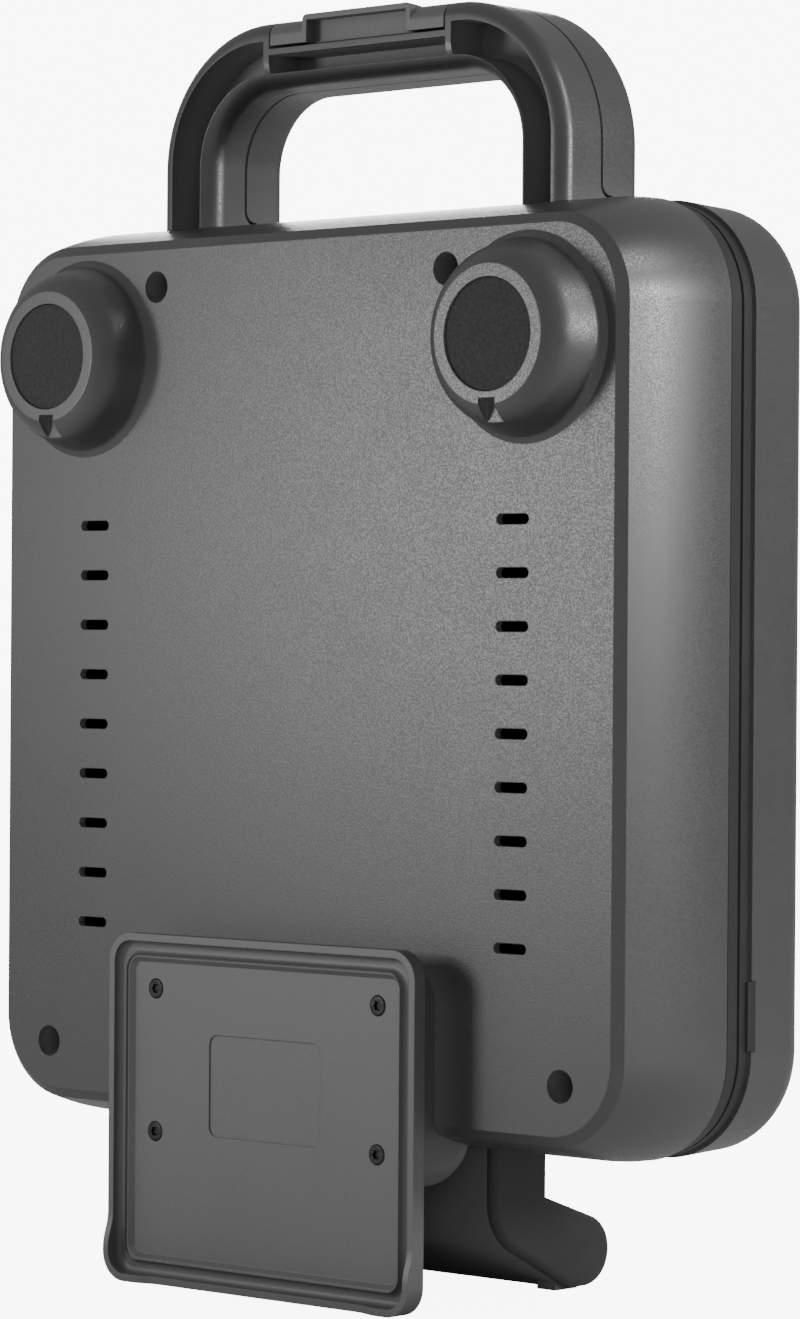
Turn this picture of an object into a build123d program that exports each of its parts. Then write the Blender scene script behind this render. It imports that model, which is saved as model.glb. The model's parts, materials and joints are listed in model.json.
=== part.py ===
from build123d import *
import math
import os

os.makedirs("parts", exist_ok=True)

# Lengths are millimetres. X runs across the appliance, Z points up, and Y runs from the
# underside (low Y) to the lid (high Y). The appliance stands on end, as it is put away:
# on the lower edge of its rear foot plate and on two nubs of its hinge housing.
# The functions below measure Y from the underside panel and Z from the standing surface.

# --- cooking plates: they set the size of the body ------------------------------------
POCKET_WIDTH = 96.0
POCKET_HEIGHT = 94.0
POCKET_DEPTH = 14.0
POCKET_CORNER_R = 12.0
POCKET_FLOOR = 2.5
POCKET_FLOOR_R = 5.0
PLATE_SEAL_T = 6.0
PLATE_SIDE_WALL = 2.5
COOK_RIM_W = 6.5
PLATE_CORNER_R = 14.0
PLATE_RIM_T = 3.0
PLATE_SINK = 0.15
ELEMENT_R = 3.2
ELEMENT_SPREAD = 15.0
ELEMENT_BEND_R = 19.0
ELEMENT_END_X = 24.0
ELEMENT_END_ROOM = 2.0
REFLECTOR_T = 0.8
REFLECTOR_SPACE = 4.0
REFLECTOR_INSET = 4.0
REFLECTOR_HOLE_GAP = 0.5
CLIP_WIDTH = 12.0
CLIP_T = 1.2
CLIP_GRIP = 3.2
CLIP_REACH = 9.0
SEAT_GAP = 0.1

# --- body outline -------------------------------------------------------------------
BODY_SIDE_MARGIN = 22.0
BODY_END_MARGIN = 30.3
BODY_CORNER_R = 31.5
BODY_BOTTOM_Z = 43.5
WALL = 2.5

# --- base shell: flat underside, bevel, bulged side -----------------------------------
BASE_RIM_Y = 39.2
BEVEL_DEPTH = 2.5
BEVEL_WIDTH = 2.9
SIDE_BULGE = 6.6
HOLLOW_SLACK = 0.4

# --- parting plane and the dark bezels ------------------------------------------------
BASE_BAND_H = 6.3
LID_BAND_H = 4.8
PARTING_GAP = 1.1
BEZEL_RECESS = 1.0
BASE_GROOVE_H = 1.5
LID_GROOVE_H = 0.6
BEZEL_WALL = 4.0
BEZEL_FLANGE = 2.5
BEZEL_SKIRT = 4.5
FIT_GAP = 0.2
LID_DEPTH = 28.2
LID_DRAFT = 1.2
LID_EDGE_R = 11.0
TAB_LENGTH = 20.0
TAB_DEPTH = 1.8
TAB_PROUD_GAP = 0.1
TAB_RISE = 42.0

# --- underside features ---------------------------------------------------------------
SLOT_LENGTH = 12.0
SLOT_WIDTH = 3.0
SLOT_PITCH = 15.0
SLOT_COUNT = 9
SLOT_INSET = 46.3
SLOT_MID_DROP = 15.4
SCREW_HOLE_R = 4.67
SCREW_HOLE_DEPTH = 16.0
SCREW_SHELF = 2.5
SCREW_TUBE_WALL = 1.8
UPPER_SCREW_X = 58.0
UPPER_SCREW_GAP = 5.1
LOWER_SCREW_INSET = 27.6
LOWER_SCREW_GAP = 2.0
SCREW_HEAD_R = 3.9
SCREW_HEAD_T = 2.8
SCREW_SHANK_R = 1.9
SCREW_SOCKET_R = 1.4
SCREW_SOCKET_T = 1.6
SCREW_GAP = 0.1
SCREW_TIP_ROOM = 1.0
POST_R = 4.6
POST_BITE = 12.0

# --- front feet -----------------------------------------------------------------------
FOOT_HEIGHT = 16.55
FOOT_RING_R = 19.6
FOOT_RING_ROUND = 0.6
FOOT_PAD_R = 15.9
FOOT_DOME_R = 27.4
FOOT_DOME_LEAN = 0.12
FOOT_SHOULDER_IN = 1.9
FOOT_SHOULDER_H = 9.9
FOOT_SHOULDER_LEAN = 0.28
FOOT_SKIRT_R = 29.8
FOOT_SKIRT_H = 2.8
FOOT_EDGE_X = 2.6
FOOT_EDGE_Z = 1.8
FOOT_PAD_SINK = 0.6
FOOT_PAD_T = 2.0
FOOT_PAD_GAP = 0.05
FOOT_PAD_ROUND = 0.4
FOOT_NOTCH_W = 6.0
FOOT_NOTCH_R = 17.6
FOOT_NOTCH_D = 4.0

# --- handle ---------------------------------------------------------------------------
HANDLE_HALF_W = 80.8
HANDLE_REACH = 59.3
HANDLE_CORNER_R = 42.4
HANDLE_BASE_DEPTH = 17.0
HANDLE_LID_DEPTH = 17.4
HANDLE_SEAM_GAP = 1.0
HANDLE_LEG_W = 19.8
HANDLE_BAR_H = 19.6
HANDLE_ROOT = 25.0
GRIP_CORNER_R = 22.5
CHANNEL_SIDE = 4.85
CHANNEL_TOP = 5.8
CHANNEL_GRIP = 4.1
CHANNEL_WEB = 2.2
CHANNEL_CORNER_R = 35.6
HANDLE_OUTER_R = 4.4
HANDLE_INNER_R = 8.0
HANDLE_BACK_R = 4.0
HANDLE_WALL = 2.6
SEAM_STEP = 4.2
SEAM_FOOT_R = 4.2
SEAM_FOOT_RISE = 1.0

# --- latch ----------------------------------------------------------------------------
LATCH_HALF_W = 34.8
LATCH_SIDE_GAP = 0.6
LATCH_RIB_T = 2.3
LATCH_RECESS_DEPTH = 8.1
LATCH_FLOOR_T = 1.9
LATCH_BACK_T = 1.6
LATCH_LIP_GAP = 0.9
LATCH_PLATE_T = 2.0
LATCH_TAB_HALF_W = 21.7
LATCH_TAB_RISE = 1.1
LATCH_TAB_CORNER_R = 1.6
LATCH_TAB_RUN = 8.7
LATCH_SCOOP_WALL = 1.7
LATCH_SCOOP_DEPTH = 4.0
LATCH_WEB_T = 1.6
LATCH_WEB_X = 28.0
LATCH_AXIS_SETBACK = 8.2
LATCH_BARREL_R = 3.9
LATCH_PIN_R = 1.5
LATCH_PIN_GAP = 0.01
LATCH_PIN_OVER = 1.0
LATCH_CATCH_H = 0.6
LATCH_CATCH_W = 1.5
LATCH_CATCH_SETBACK = 3.0
RUNNING_GAP = 0.06

# --- rear foot and neck ---------------------------------------------------------------
PLATE_HALF_W = 61.2
PLATE_TOP_Z = 103.1
PLATE_FOOT_CORNER_R = 8.5
PLATE_T = 4.5
PLATE_RIM_W = 2.2
GUTTER_W = 4.2
GUTTER_DEPTH = 2.7
RIDGE_W = 0.6
RIDGE_DEPTH = 1.4
RIDGE_CORNER_R = 4.6
RIDGE_SLOPE_W = 1.4
PLATE_FLOOR_DEPTH = 3.0
LUG_LENGTH_X = 22.0
LUG_LENGTH_Z = 20.0
LUG_RAMP = 10.5
LABEL_HALF_W = 22.3
LABEL_HEIGHT = 29.8
LABEL_DROP = 43.4
LABEL_SINK = 0.45
LABEL_R = 3.0
WRAP_WIDTH = 5.2
WRAP_DEPTH = 10.0
NECK_TOP_DROP = 6.1
NECK_UNDER = 8.6
NECK_CORNER_R = 10.0
NECK_REAR_Y = 20.5
NECK_REAR_R = 16.0
NECK_BOTTOM_R = 8.0
NECK_WALL = 2.5
PLATE_SCREW_INSET = 11.5
PLATE_SCREW_DROP = 16.2
PLATE_SCREW_RISE = 9.8
PLATE_SCREW_HEAD_R = 2.9
PLATE_SCREW_HEAD_T = 1.1
PLATE_SCREW_PROUD = 0.3
PLATE_SCREW_HEAD_ROUND = 0.5
PLATE_SCREW_SHANK_R = 1.5
PLATE_SCREW_BITE = 6.0
PLATE_BOSS_WALL = 2.5
STAR_R = 0.95
STAR_LOBE_R = 0.48
STAR_DEPTH = 0.8

# --- hinge ----------------------------------------------------------------------------
HINGE_SETBACK = 8.5
HINGE_R = 10.5
HOUSING_HALF_W = 54.5
HOUSING_SETBACK = 11.9
HOUSING_OVERREACH = 1.5
HOUSING_KNEE_DROP = 15.1
HOUSING_BEND_DROP = 25.0
HOUSING_BEND_R = 17.0
HOUSING_TOE = 7.5
HOUSING_EDGE_R = 2.4
HOUSING_LID_GAP = 1.0
CHEEK_T = 2.8
CHEEK_SEAM = 0.35
KNUCKLE_R = 8.2
KNUCKLE_GAP = 0.3
KNUCKLE_HALF_W = 28.0
HINGE_PIN_R = 3.0
HINGE_PIN_GAP = 0.02
HINGE_BUSH_R = 4.5
HINGE_BUSH_GAP = 0.01
HINGE_BUSH_L = 12.0
NUB_WIDTH = 7.0
NUB_SETBACK = 11.2
NUB_LENGTH = 9.8
NUB_HEIGHT = 0.5
NUB_INSET = 0.4
ARM_ROOT = 16.0
ARM_ROOT_R = 6.0
HOUSING_SCREW_INSET = 18.5
HOUSING_SCREW_SETBACK = 3.3
HOUSING_SCREW_BITE = 13.0
HOUSING_SCREW_SEAT = 3.5

# --- wiring and small parts -----------------------------------------------------------
GLAND_INSET = 46.0
GLAND_Y = 22.0
GLAND_R = 6.5
GLAND_FLANGE_R = 9.0
GLAND_FLANGE_T = 2.5
GLAND_OUTER_T = 4.0
GLAND_NECK_L = 8.0
GLAND_SINK = 1.0
GLAND_BORE_R = 3.6
TERMINAL_SHIFT = 32.0
TERMINAL_RISE = 28.5
TERMINAL_WIDTH = 34.0
TERMINAL_DEPTH = 12.0
TERMINAL_HEIGHT = 16.0
TERMINAL_WAY_R = 2.4
WIRE_R = 1.3
WIRE_BEND_R = 2.4
WIRE_SPACE = 3.2
LEAD_BEND_R = 5.5
LEAD_SIDE_SPACE = 5.0
LIGHT_X = 12.0
LIGHT_DROP = 18.1
LIGHT_R = 3.5
LIGHT_FLANGE = 1.2
LIGHT_PROUD = 0.5
LIGHT_ROUND = 0.45
LIGHT_GAP = 0.05
LAMP_R = 1.5
LAMP_L = 2.2
LAMP_SPACE = 0.3
BOARD_WIDTH = 56.0
BOARD_T = 1.6
BOARD_HEIGHT = 18.0
BOARD_SETBACK = 10.5
BOARD_POST_R = 2.6
BOARD_POST_INSET = 4.0
THERMOSTAT_R = 8.5
THERMOSTAT_T = 7.0
BLADE_T = 0.8
BLADE_W = 4.8
BLADE_L = 2.4
BLADE_SPACE = 10.0
FUSE_R = 2.2
FUSE_HALF_L = 9.0
FUSE_SHIFT = 20.5
SADDLE_T = 1.0
SADDLE_HALF_W = 5.0
SADDLE_HALF_H = 3.0

# --- values that follow from the sizes above ------------------------------------------
PAN_WIDTH = 2 * POCKET_WIDTH + PLATE_SEAL_T + 2 * PLATE_SIDE_WALL
PAN_HEIGHT = 2 * POCKET_HEIGHT + PLATE_SEAL_T + 2 * PLATE_SIDE_WALL
PLATE_WIDTH = PAN_WIDTH + 2 * COOK_RIM_W
PLATE_HEIGHT = PAN_HEIGHT + 2 * COOK_RIM_W
PLATE_DEPTH = POCKET_DEPTH + POCKET_FLOOR
BODY_WIDTH = PLATE_WIDTH + 2 * BODY_SIDE_MARGIN
BODY_HEIGHT = PLATE_HEIGHT + 2 * BODY_END_MARGIN
HALF_W = BODY_WIDTH / 2
HALF_H = BODY_HEIGHT / 2
BODY_MID_Z = BODY_BOTTOM_Z + HALF_H
BODY_TOP_Z = BODY_BOTTOM_Z + BODY_HEIGHT
PARTING_Y = BASE_RIM_Y + BASE_BAND_H
BASE_BEZEL_Y = PARTING_Y - PARTING_GAP / 2
LID_BEZEL_Y = PARTING_Y + PARTING_GAP / 2
BASE_PLATE_Y = BASE_BEZEL_Y - PLATE_SINK
LID_RIM_Y = PARTING_Y + LID_BAND_H
LID_TOP_Y = LID_RIM_Y + LID_DEPTH
BEZEL_SKIRT_INSET = WALL + 2 * FIT_GAP
TAB_MID_Z = BODY_BOTTOM_Z + TAB_RISE
ELEMENT_HALF = (POCKET_WIDTH + PLATE_SEAL_T) / 2 + ELEMENT_SPREAD
SLOT_X = HALF_W - SLOT_INSET
SLOT_TOP_Z = BODY_MID_Z - SLOT_MID_DROP + (SLOT_COUNT - 1) / 2 * SLOT_PITCH
UPPER_SCREW_Z = BODY_TOP_Z - BODY_END_MARGIN + POST_R + UPPER_SCREW_GAP
LOWER_SCREW_X = HALF_W - LOWER_SCREW_INSET
LOWER_SCREW_Z = BODY_BOTTOM_Z + BODY_END_MARGIN - POST_R - LOWER_SCREW_GAP
PANEL_INSET = SIDE_BULGE + BEVEL_WIDTH
FOOT_X = HALF_W - PANEL_INSET - FOOT_SKIRT_R - FOOT_EDGE_X
FOOT_Z = BODY_TOP_Z - PANEL_INSET - FOOT_SKIRT_R - FOOT_EDGE_Z
HANDLE_SEAM_Y = PARTING_Y - SEAM_STEP
HANDLE_FRONT_Y = HANDLE_SEAM_Y - HANDLE_BASE_DEPTH
HANDLE_BACK_Y = HANDLE_SEAM_Y + HANDLE_LID_DEPTH
HANDLE_TOP_Z = BODY_TOP_Z + HANDLE_REACH
GRIP_HALF_W = HANDLE_HALF_W - HANDLE_LEG_W
GRIP_TOP_Z = HANDLE_TOP_Z - HANDLE_BAR_H
LATCH_FLOOR_Z = HANDLE_TOP_Z - LATCH_RECESS_DEPTH
LATCH_TAB_BACK_Y = HANDLE_FRONT_Y + LATCH_TAB_RUN
LATCH_AXIS_Y = HANDLE_BACK_Y - LATCH_AXIS_SETBACK
LATCH_AXIS_Z = HANDLE_TOP_Z - LATCH_BARREL_R
RECESS_HALF_W = LATCH_HALF_W + LATCH_SIDE_GAP
RECESS_BACK_Y = LATCH_AXIS_Y + LATCH_BARREL_R + LATCH_SIDE_GAP
PLATE_BACK_Y = -WRAP_DEPTH
PLATE_RIM_Y = PLATE_BACK_Y - PLATE_T
GUTTER_Y = PLATE_RIM_Y + GUTTER_DEPTH
RIDGE_Y = PLATE_RIM_Y + RIDGE_DEPTH
PLATE_FLOOR_Y = PLATE_RIM_Y + PLATE_FLOOR_DEPTH
PLATE_SCREW_TOP_Y = PLATE_FLOOR_Y - PLATE_SCREW_PROUD
PLATE_SCREW_SEAT_Y = PLATE_SCREW_TOP_Y + PLATE_SCREW_HEAD_T
LABEL_MID_Z = PLATE_TOP_Z - LABEL_DROP
NECK_HALF_W = PLATE_HALF_W - WRAP_WIDTH
NECK_LOW_Z = BODY_BOTTOM_Z - NECK_UNDER
NECK_HIGH_Z = PLATE_TOP_Z - NECK_TOP_DROP
PLATE_SCREW_X = NECK_HALF_W - PLATE_SCREW_INSET
PLATE_SCREW_HIGH_Z = PLATE_TOP_Z - PLATE_SCREW_DROP
PLATE_SCREW_LOW_Z = NECK_LOW_Z + PLATE_SCREW_RISE
HINGE_Y = LID_TOP_Y - HINGE_SETBACK
HINGE_Z = HINGE_R + NUB_HEIGHT
HOUSING_FRONT_Y = BASE_RIM_Y - HOUSING_SETBACK
HOUSING_BACK_Y = LID_RIM_Y + HOUSING_OVERREACH
HOUSING_KNEE_Z = BODY_BOTTOM_Z - HOUSING_KNEE_DROP
HOUSING_BEND_Z = BODY_BOTTOM_Z - HOUSING_BEND_DROP
HOUSING_TOE_Y = HINGE_Y - HOUSING_TOE
HOUSING_CORE_W = HOUSING_HALF_W - CHEEK_T
HOUSING_SCREW_X = HOUSING_HALF_W - HOUSING_SCREW_INSET
HOUSING_SCREW_Y = HOUSING_FRONT_Y + HOUSING_SCREW_SETBACK
NUB_FRONT_Y = HINGE_Y - NUB_SETBACK
ARM_BACK_Y = HINGE_Y + KNUCKLE_R
GLAND_X = GLAND_INSET - HALF_W
TERMINAL_X = GLAND_X + TERMINAL_SHIFT
TERMINAL_Z = BODY_BOTTOM_Z + TERMINAL_RISE
LIGHT_Z = BODY_TOP_Z - LIGHT_DROP
BOARD_Y = LID_TOP_Y - BOARD_SETBACK
BOARD_TOP_Y = BOARD_Y + BOARD_T
BACK_Y = HINGE_Y + HINGE_R
SHIFT_Y = (FOOT_HEIGHT - BACK_Y) / 2
SCREW_POINTS = [
    (UPPER_SCREW_X, UPPER_SCREW_Z),
    (-UPPER_SCREW_X, UPPER_SCREW_Z),
    (LOWER_SCREW_X, LOWER_SCREW_Z),
    (-LOWER_SCREW_X, LOWER_SCREW_Z),
]
CUT = 1.0
FAR = 10 * BODY_WIDTH


# --- helpers --------------------------------------------------------------------------
def facing_y(y):
    """Plane at depth y whose local axes are X and Z; extruding goes towards low Y."""
    return Plane(origin=(0, y, 0), x_dir=(1, 0, 0), z_dir=(0, -1, 0))


def facing_x(x):
    """Plane at x whose local axes are Y and Z; extruding goes towards high X."""
    return Plane(origin=(x, 0, 0), x_dir=(0, 1, 0), z_dir=(1, 0, 0))


def slab(outline, y_low, y_high):
    """Solid of an X-Z outline between two depths."""
    return extrude(facing_y(y_high) * outline, amount=y_high - y_low)


def beam(outline, x_low, x_high):
    """Solid of a Y-Z outline between two X positions."""
    return extrude(facing_x(x_low) * outline, amount=x_high - x_low)


def block(x, y, z):
    """Box given by its low and high values on each axis."""
    size = Box(x[1] - x[0], y[1] - y[0], z[1] - z[0])
    return Pos((x[0] + x[1]) / 2, (y[0] + y[1]) / 2, (z[0] + z[1]) / 2) * size


def rod_y(x, z, radius, y_low, y_high):
    """Round bar along Y."""
    return slab(Pos(x, z) * Circle(radius), y_low, y_high)


def rod_x(y, z, radius, x_low, x_high):
    """Round bar along X."""
    return beam(Pos(y, z) * Circle(radius), x_low, x_high)


def rod_z(x, y, radius, z_low, z_high):
    """Round bar along Z."""
    return Pos(x, y, (z_low + z_high) / 2) * Cylinder(radius, z_high - z_low)


def both_sides(shape):
    """The shape and its mirror image across the middle of the appliance."""
    return [shape, mirror(shape, about=Plane.YZ)]


def polygon(*points):
    """Flat face with straight sides."""
    return make_face(Polyline(*points, close=True).edges())


def tray(profile, y_low, y_high):
    """Body-shaped solid: the profile, drawn outwards from the corner centres as
    (distance, depth), runs along the four sides and turns round the four corners."""
    reach_x = HALF_W - BODY_CORNER_R
    reach_z = HALF_H - BODY_CORNER_R
    side = Pos(reach_x, 0, -reach_z) * extrude(profile, amount=2 * reach_z)
    end = Pos(reach_x, 0, reach_z) * Rot(0, -90, 0) * extrude(profile, amount=2 * reach_x)
    turn = revolve(profile, axis=Axis((0, 0, 0), (0, -1, 0)), revolution_arc=90)
    corner = Pos(reach_x, 0, reach_z) * turn
    low_corner = mirror(corner, about=Plane.XY)
    core = block((-reach_x, reach_x), (y_low, y_high), (-reach_z, reach_z))
    pieces = both_sides(side) + [end, mirror(end, about=Plane.XY)]
    pieces += both_sides(corner) + both_sides(low_corner)
    return Pos(0, 0, BODY_MID_Z) * (core + pieces)


def body_outline(inset):
    """X-Z outline of the body, moved inwards by inset."""
    outline = RectangleRounded(BODY_WIDTH - 2 * inset, BODY_HEIGHT - 2 * inset, BODY_CORNER_R - inset)
    return Pos(0, BODY_MID_Z) * outline


def ring(inset_out, inset_in, y_low, y_high):
    """Frame between two insets of the body outline."""
    return slab(body_outline(inset_out) - body_outline(inset_in), y_low, y_high)


def arch(half_w, top_z, corner_r, low_z):
    """X-Z outline of an upright arch with rounded shoulders."""
    start = Line((-half_w, low_z), (-half_w, top_z - corner_r))
    left = RadiusArc((-half_w, top_z - corner_r), (-half_w + corner_r, top_z), corner_r)
    top = Line((-half_w + corner_r, top_z), (half_w - corner_r, top_z))
    right = RadiusArc((half_w - corner_r, top_z), (half_w, top_z - corner_r), corner_r)
    end = Line((half_w, top_z - corner_r), (half_w, low_z))
    foot = Line((half_w, low_z), (-half_w, low_z))
    return make_face([start, left, top, right, end, foot])


def plate_outline(inset):
    """X-Z outline of a cooking plate, moved inwards by inset."""
    outline = RectangleRounded(PLATE_WIDTH - 2 * inset, PLATE_HEIGHT - 2 * inset, PLATE_CORNER_R - inset)
    return Pos(0, BODY_MID_Z) * outline


def tube(points, bend_r, radius):
    """Round tube along straight runs joined by arcs."""
    path = FilletPolyline(*points, radius=bend_r)
    section = Plane(origin=path @ 0, z_dir=path % 0) * Circle(radius)
    return sweep(section, path=path)


def save(name, *shapes):
    """Write one node, moved from the underside's depth to the part's own origin."""
    solids = []
    for shape in shapes:
        solids += [Pos(0, SHIFT_Y, 0) * solid for solid in shape.solids()]
    node = solids[0] if len(solids) == 1 else Compound(children=solids)
    export_step(node, f"parts/{name}.step")


# --- body volumes ---------------------------------------------------------------------
def base_volume():
    """Outside of the base: flat underside, bevel and bulged side up to its rim."""
    foot = BODY_CORNER_R - SIDE_BULGE
    rim_point = (BODY_CORNER_R, BASE_RIM_Y)
    bulge = TangentArc(rim_point, (foot, BEVEL_DEPTH), tangent=(0, -1))
    profile = make_face([
        Line((0, 0), (foot - BEVEL_WIDTH, 0)),
        Line((foot - BEVEL_WIDTH, 0), (foot, BEVEL_DEPTH)),
        bulge,
        Line(rim_point, (0, BASE_RIM_Y)),
        Line((0, BASE_RIM_Y), (0, 0)),
    ])
    return tray(profile, 0, BASE_RIM_Y)


def base_hollow():
    """Space inside the base shell."""
    foot = BODY_CORNER_R - SIDE_BULGE - WALL + HOLLOW_SLACK
    rim_point = (BODY_CORNER_R - WALL, BASE_RIM_Y)
    bulge = TangentArc(rim_point, (foot, WALL), tangent=(0, -1))
    profile = make_face([
        Line((0, WALL), (foot, WALL)),
        bulge,
        Line(rim_point, (0, BASE_RIM_Y)),
        Line((0, BASE_RIM_Y), (0, WALL)),
    ])
    return tray(profile, WALL, BASE_RIM_Y)


def lid_volume(inset, top_y, edge_r):
    """Lid-shaped volume, inset from the lid's outside, with a rounded top edge."""
    rim = BODY_CORNER_R - inset
    profile = polygon((0, LID_RIM_Y), (rim, LID_RIM_Y), (rim - LID_DRAFT, top_y), (0, top_y))
    corner = profile.vertices().sort_by(lambda v: v.X + v.Y)[-1]
    return tray(fillet(corner, edge_r), LID_RIM_Y, top_y)


# --- front feet -----------------------------------------------------------------------
def foot_profile(scale_in, sink):
    """Half section of a foot dome as (radius, depth), shrunk for the inside."""
    ring_r = FOOT_RING_R - scale_in
    dome_r = FOOT_DOME_R - scale_in
    skirt_r = FOOT_SKIRT_R - scale_in
    top_y = -FOOT_HEIGHT + sink
    skirt = (dome_r, -FOOT_SKIRT_H)
    shoulder = (dome_r - FOOT_SHOULDER_IN, -FOOT_SHOULDER_H)
    profile = make_face([
        Line((0, WALL), (skirt_r, WALL)),
        Line((skirt_r, WALL), (skirt_r, 0)),
        Spline((skirt_r, 0), skirt, tangents=((-1, -0.6), (-FOOT_DOME_LEAN, -1))),
        Spline(skirt, shoulder, tangents=((-FOOT_DOME_LEAN, -1), (-FOOT_SHOULDER_LEAN, -1))),
        Spline(shoulder, (ring_r, top_y), tangents=((-FOOT_SHOULDER_LEAN, -1), (-1, -0.5))),
        Line((ring_r, top_y), (0, top_y)),
        Line((0, top_y), (0, WALL)),
    ])
    ring_corner = profile.vertices().sort_by_distance((ring_r, top_y, 0))[0]
    return fillet(ring_corner, FOOT_RING_ROUND)


def foot_dome():
    """Hollow foot moulded on the underside, with a pad seat and a drain notch below."""
    axis = Axis((0, 0, 0), (0, 1, 0))
    outside = revolve(foot_profile(0, 0), axis=axis)
    inside = revolve(foot_profile(WALL, FOOT_PAD_SINK + FOOT_PAD_T + WALL), axis=axis)
    pad_seat = rod_y(0, 0, FOOT_PAD_R, -FOOT_HEIGHT - 1, -FOOT_HEIGHT + FOOT_PAD_SINK + FOOT_PAD_T)
    notch_x = (-FOOT_NOTCH_W / 2, FOOT_NOTCH_W / 2)
    notch = block(notch_x, (-FOOT_HEIGHT - 1, -FOOT_HEIGHT + FOOT_NOTCH_D), (-FOOT_SKIRT_R - 5, -FOOT_NOTCH_R))
    notch_wall = block(
        (-FOOT_NOTCH_W / 2 - WALL, FOOT_NOTCH_W / 2 + WALL),
        (-FOOT_HEIGHT, -FOOT_HEIGHT + FOOT_NOTCH_D + WALL),
        (-FOOT_SKIRT_R, -FOOT_NOTCH_R + WALL),
    )
    return outside, inside - notch_wall, [pad_seat, notch]


def front_foot_pads():
    """Rubber discs in the two front feet."""
    pad = rod_y(FOOT_X, FOOT_Z, FOOT_PAD_R - FOOT_PAD_GAP, -FOOT_HEIGHT + FOOT_PAD_SINK, -FOOT_HEIGHT + FOOT_PAD_SINK + FOOT_PAD_T)
    edges = pad.edges().filter_by(GeomType.CIRCLE).group_by(Axis.Y)[0]
    return both_sides(fillet(edges, FOOT_PAD_ROUND))


# --- base -----------------------------------------------------------------------------
def screw_hole(x, z):
    """Deep hole for one base screw, with the small hole through its shelf."""
    bore = rod_y(x, z, SCREW_HOLE_R, -1, SCREW_HOLE_DEPTH)
    through = rod_y(x, z, SCREW_SHANK_R + SCREW_GAP, 0, SCREW_HOLE_DEPTH + SCREW_SHELF + 1)
    return [bore, through]


def base_shell():
    """Underside shell with vents, screw tubes, both front feet and the gland hole."""
    outside, inside, cuts = foot_dome()
    shell = base_volume()
    shell += [Pos(x, 0, FOOT_Z) * outside for x in (FOOT_X, -FOOT_X)]
    shell -= base_hollow()
    shell -= [Pos(x, 0, FOOT_Z) * inside for x in (FOOT_X, -FOOT_X)]
    tube_r = SCREW_HOLE_R + SCREW_TUBE_WALL
    shell += [rod_y(x, z, tube_r, WALL / 2, SCREW_HOLE_DEPTH + SCREW_SHELF) for x, z in SCREW_POINTS]
    for x, z in SCREW_POINTS:
        shell -= screw_hole(x, z)
    for x in (FOOT_X, -FOOT_X):
        shell -= [Pos(x, 0, FOOT_Z) * cut for cut in cuts]
    slots = []
    for row in range(SLOT_COUNT):
        for x in (SLOT_X, -SLOT_X):
            outline = Pos(x, SLOT_TOP_Z - row * SLOT_PITCH) * SlotOverall(SLOT_LENGTH, SLOT_WIDTH)
            slots.append(slab(outline, -1, WALL + 1))
    shell -= slots
    shell -= gland_hole()
    for x in (HOUSING_SCREW_X, -HOUSING_SCREW_X):
        shell -= rod_z(x, HOUSING_SCREW_Y, SCREW_SHANK_R + SCREW_GAP, BODY_BOTTOM_Z - CUT, BODY_BOTTOM_Z + 3 * WALL)
    return shell


def base_bezel():
    """Dark frame that closes the base round the lower plate, with its screw posts."""
    inner = BEZEL_RECESS + BEZEL_WALL
    frame_y = BASE_RIM_Y + BASE_GROOVE_H
    frame = ring(BEZEL_RECESS, inner, frame_y, BASE_BEZEL_Y)
    skirt = ring(BEZEL_SKIRT_INSET, inner, BASE_RIM_Y - BEZEL_SKIRT, frame_y)
    flange = slab(body_outline(inner - 1) - plate_outline(-FIT_GAP), BASE_BEZEL_Y - BEZEL_FLANGE, BASE_BEZEL_Y)
    posts = [rod_y(x, z, POST_R, SCREW_HOLE_DEPTH + SCREW_SHELF, BASE_BEZEL_Y - 1) for x, z in SCREW_POINTS]
    bezel = frame + [skirt, flange] + posts
    pilot_end = SCREW_HOLE_DEPTH + SCREW_SHELF + POST_BITE
    return bezel - [rod_y(x, z, SCREW_SHANK_R + SCREW_GAP, 0, pilot_end) for x, z in SCREW_POINTS]


def base_screws():
    """Four long screws seen at the bottom of the underside holes."""
    screws = []
    for x, z in SCREW_POINTS:
        head = rod_y(x, z, SCREW_HEAD_R, SCREW_HOLE_DEPTH - SCREW_HEAD_T, SCREW_HOLE_DEPTH)
        shank = rod_y(x, z, SCREW_SHANK_R, SCREW_HOLE_DEPTH, SCREW_HOLE_DEPTH + SCREW_SHELF + POST_BITE - SCREW_TIP_ROOM)
        socket_y = SCREW_HOLE_DEPTH - SCREW_HEAD_T
        recess = rod_y(x, z, SCREW_SOCKET_R, socket_y - CUT, socket_y + SCREW_SOCKET_T)
        screws.append(head + shank - recess)
    return screws


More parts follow.
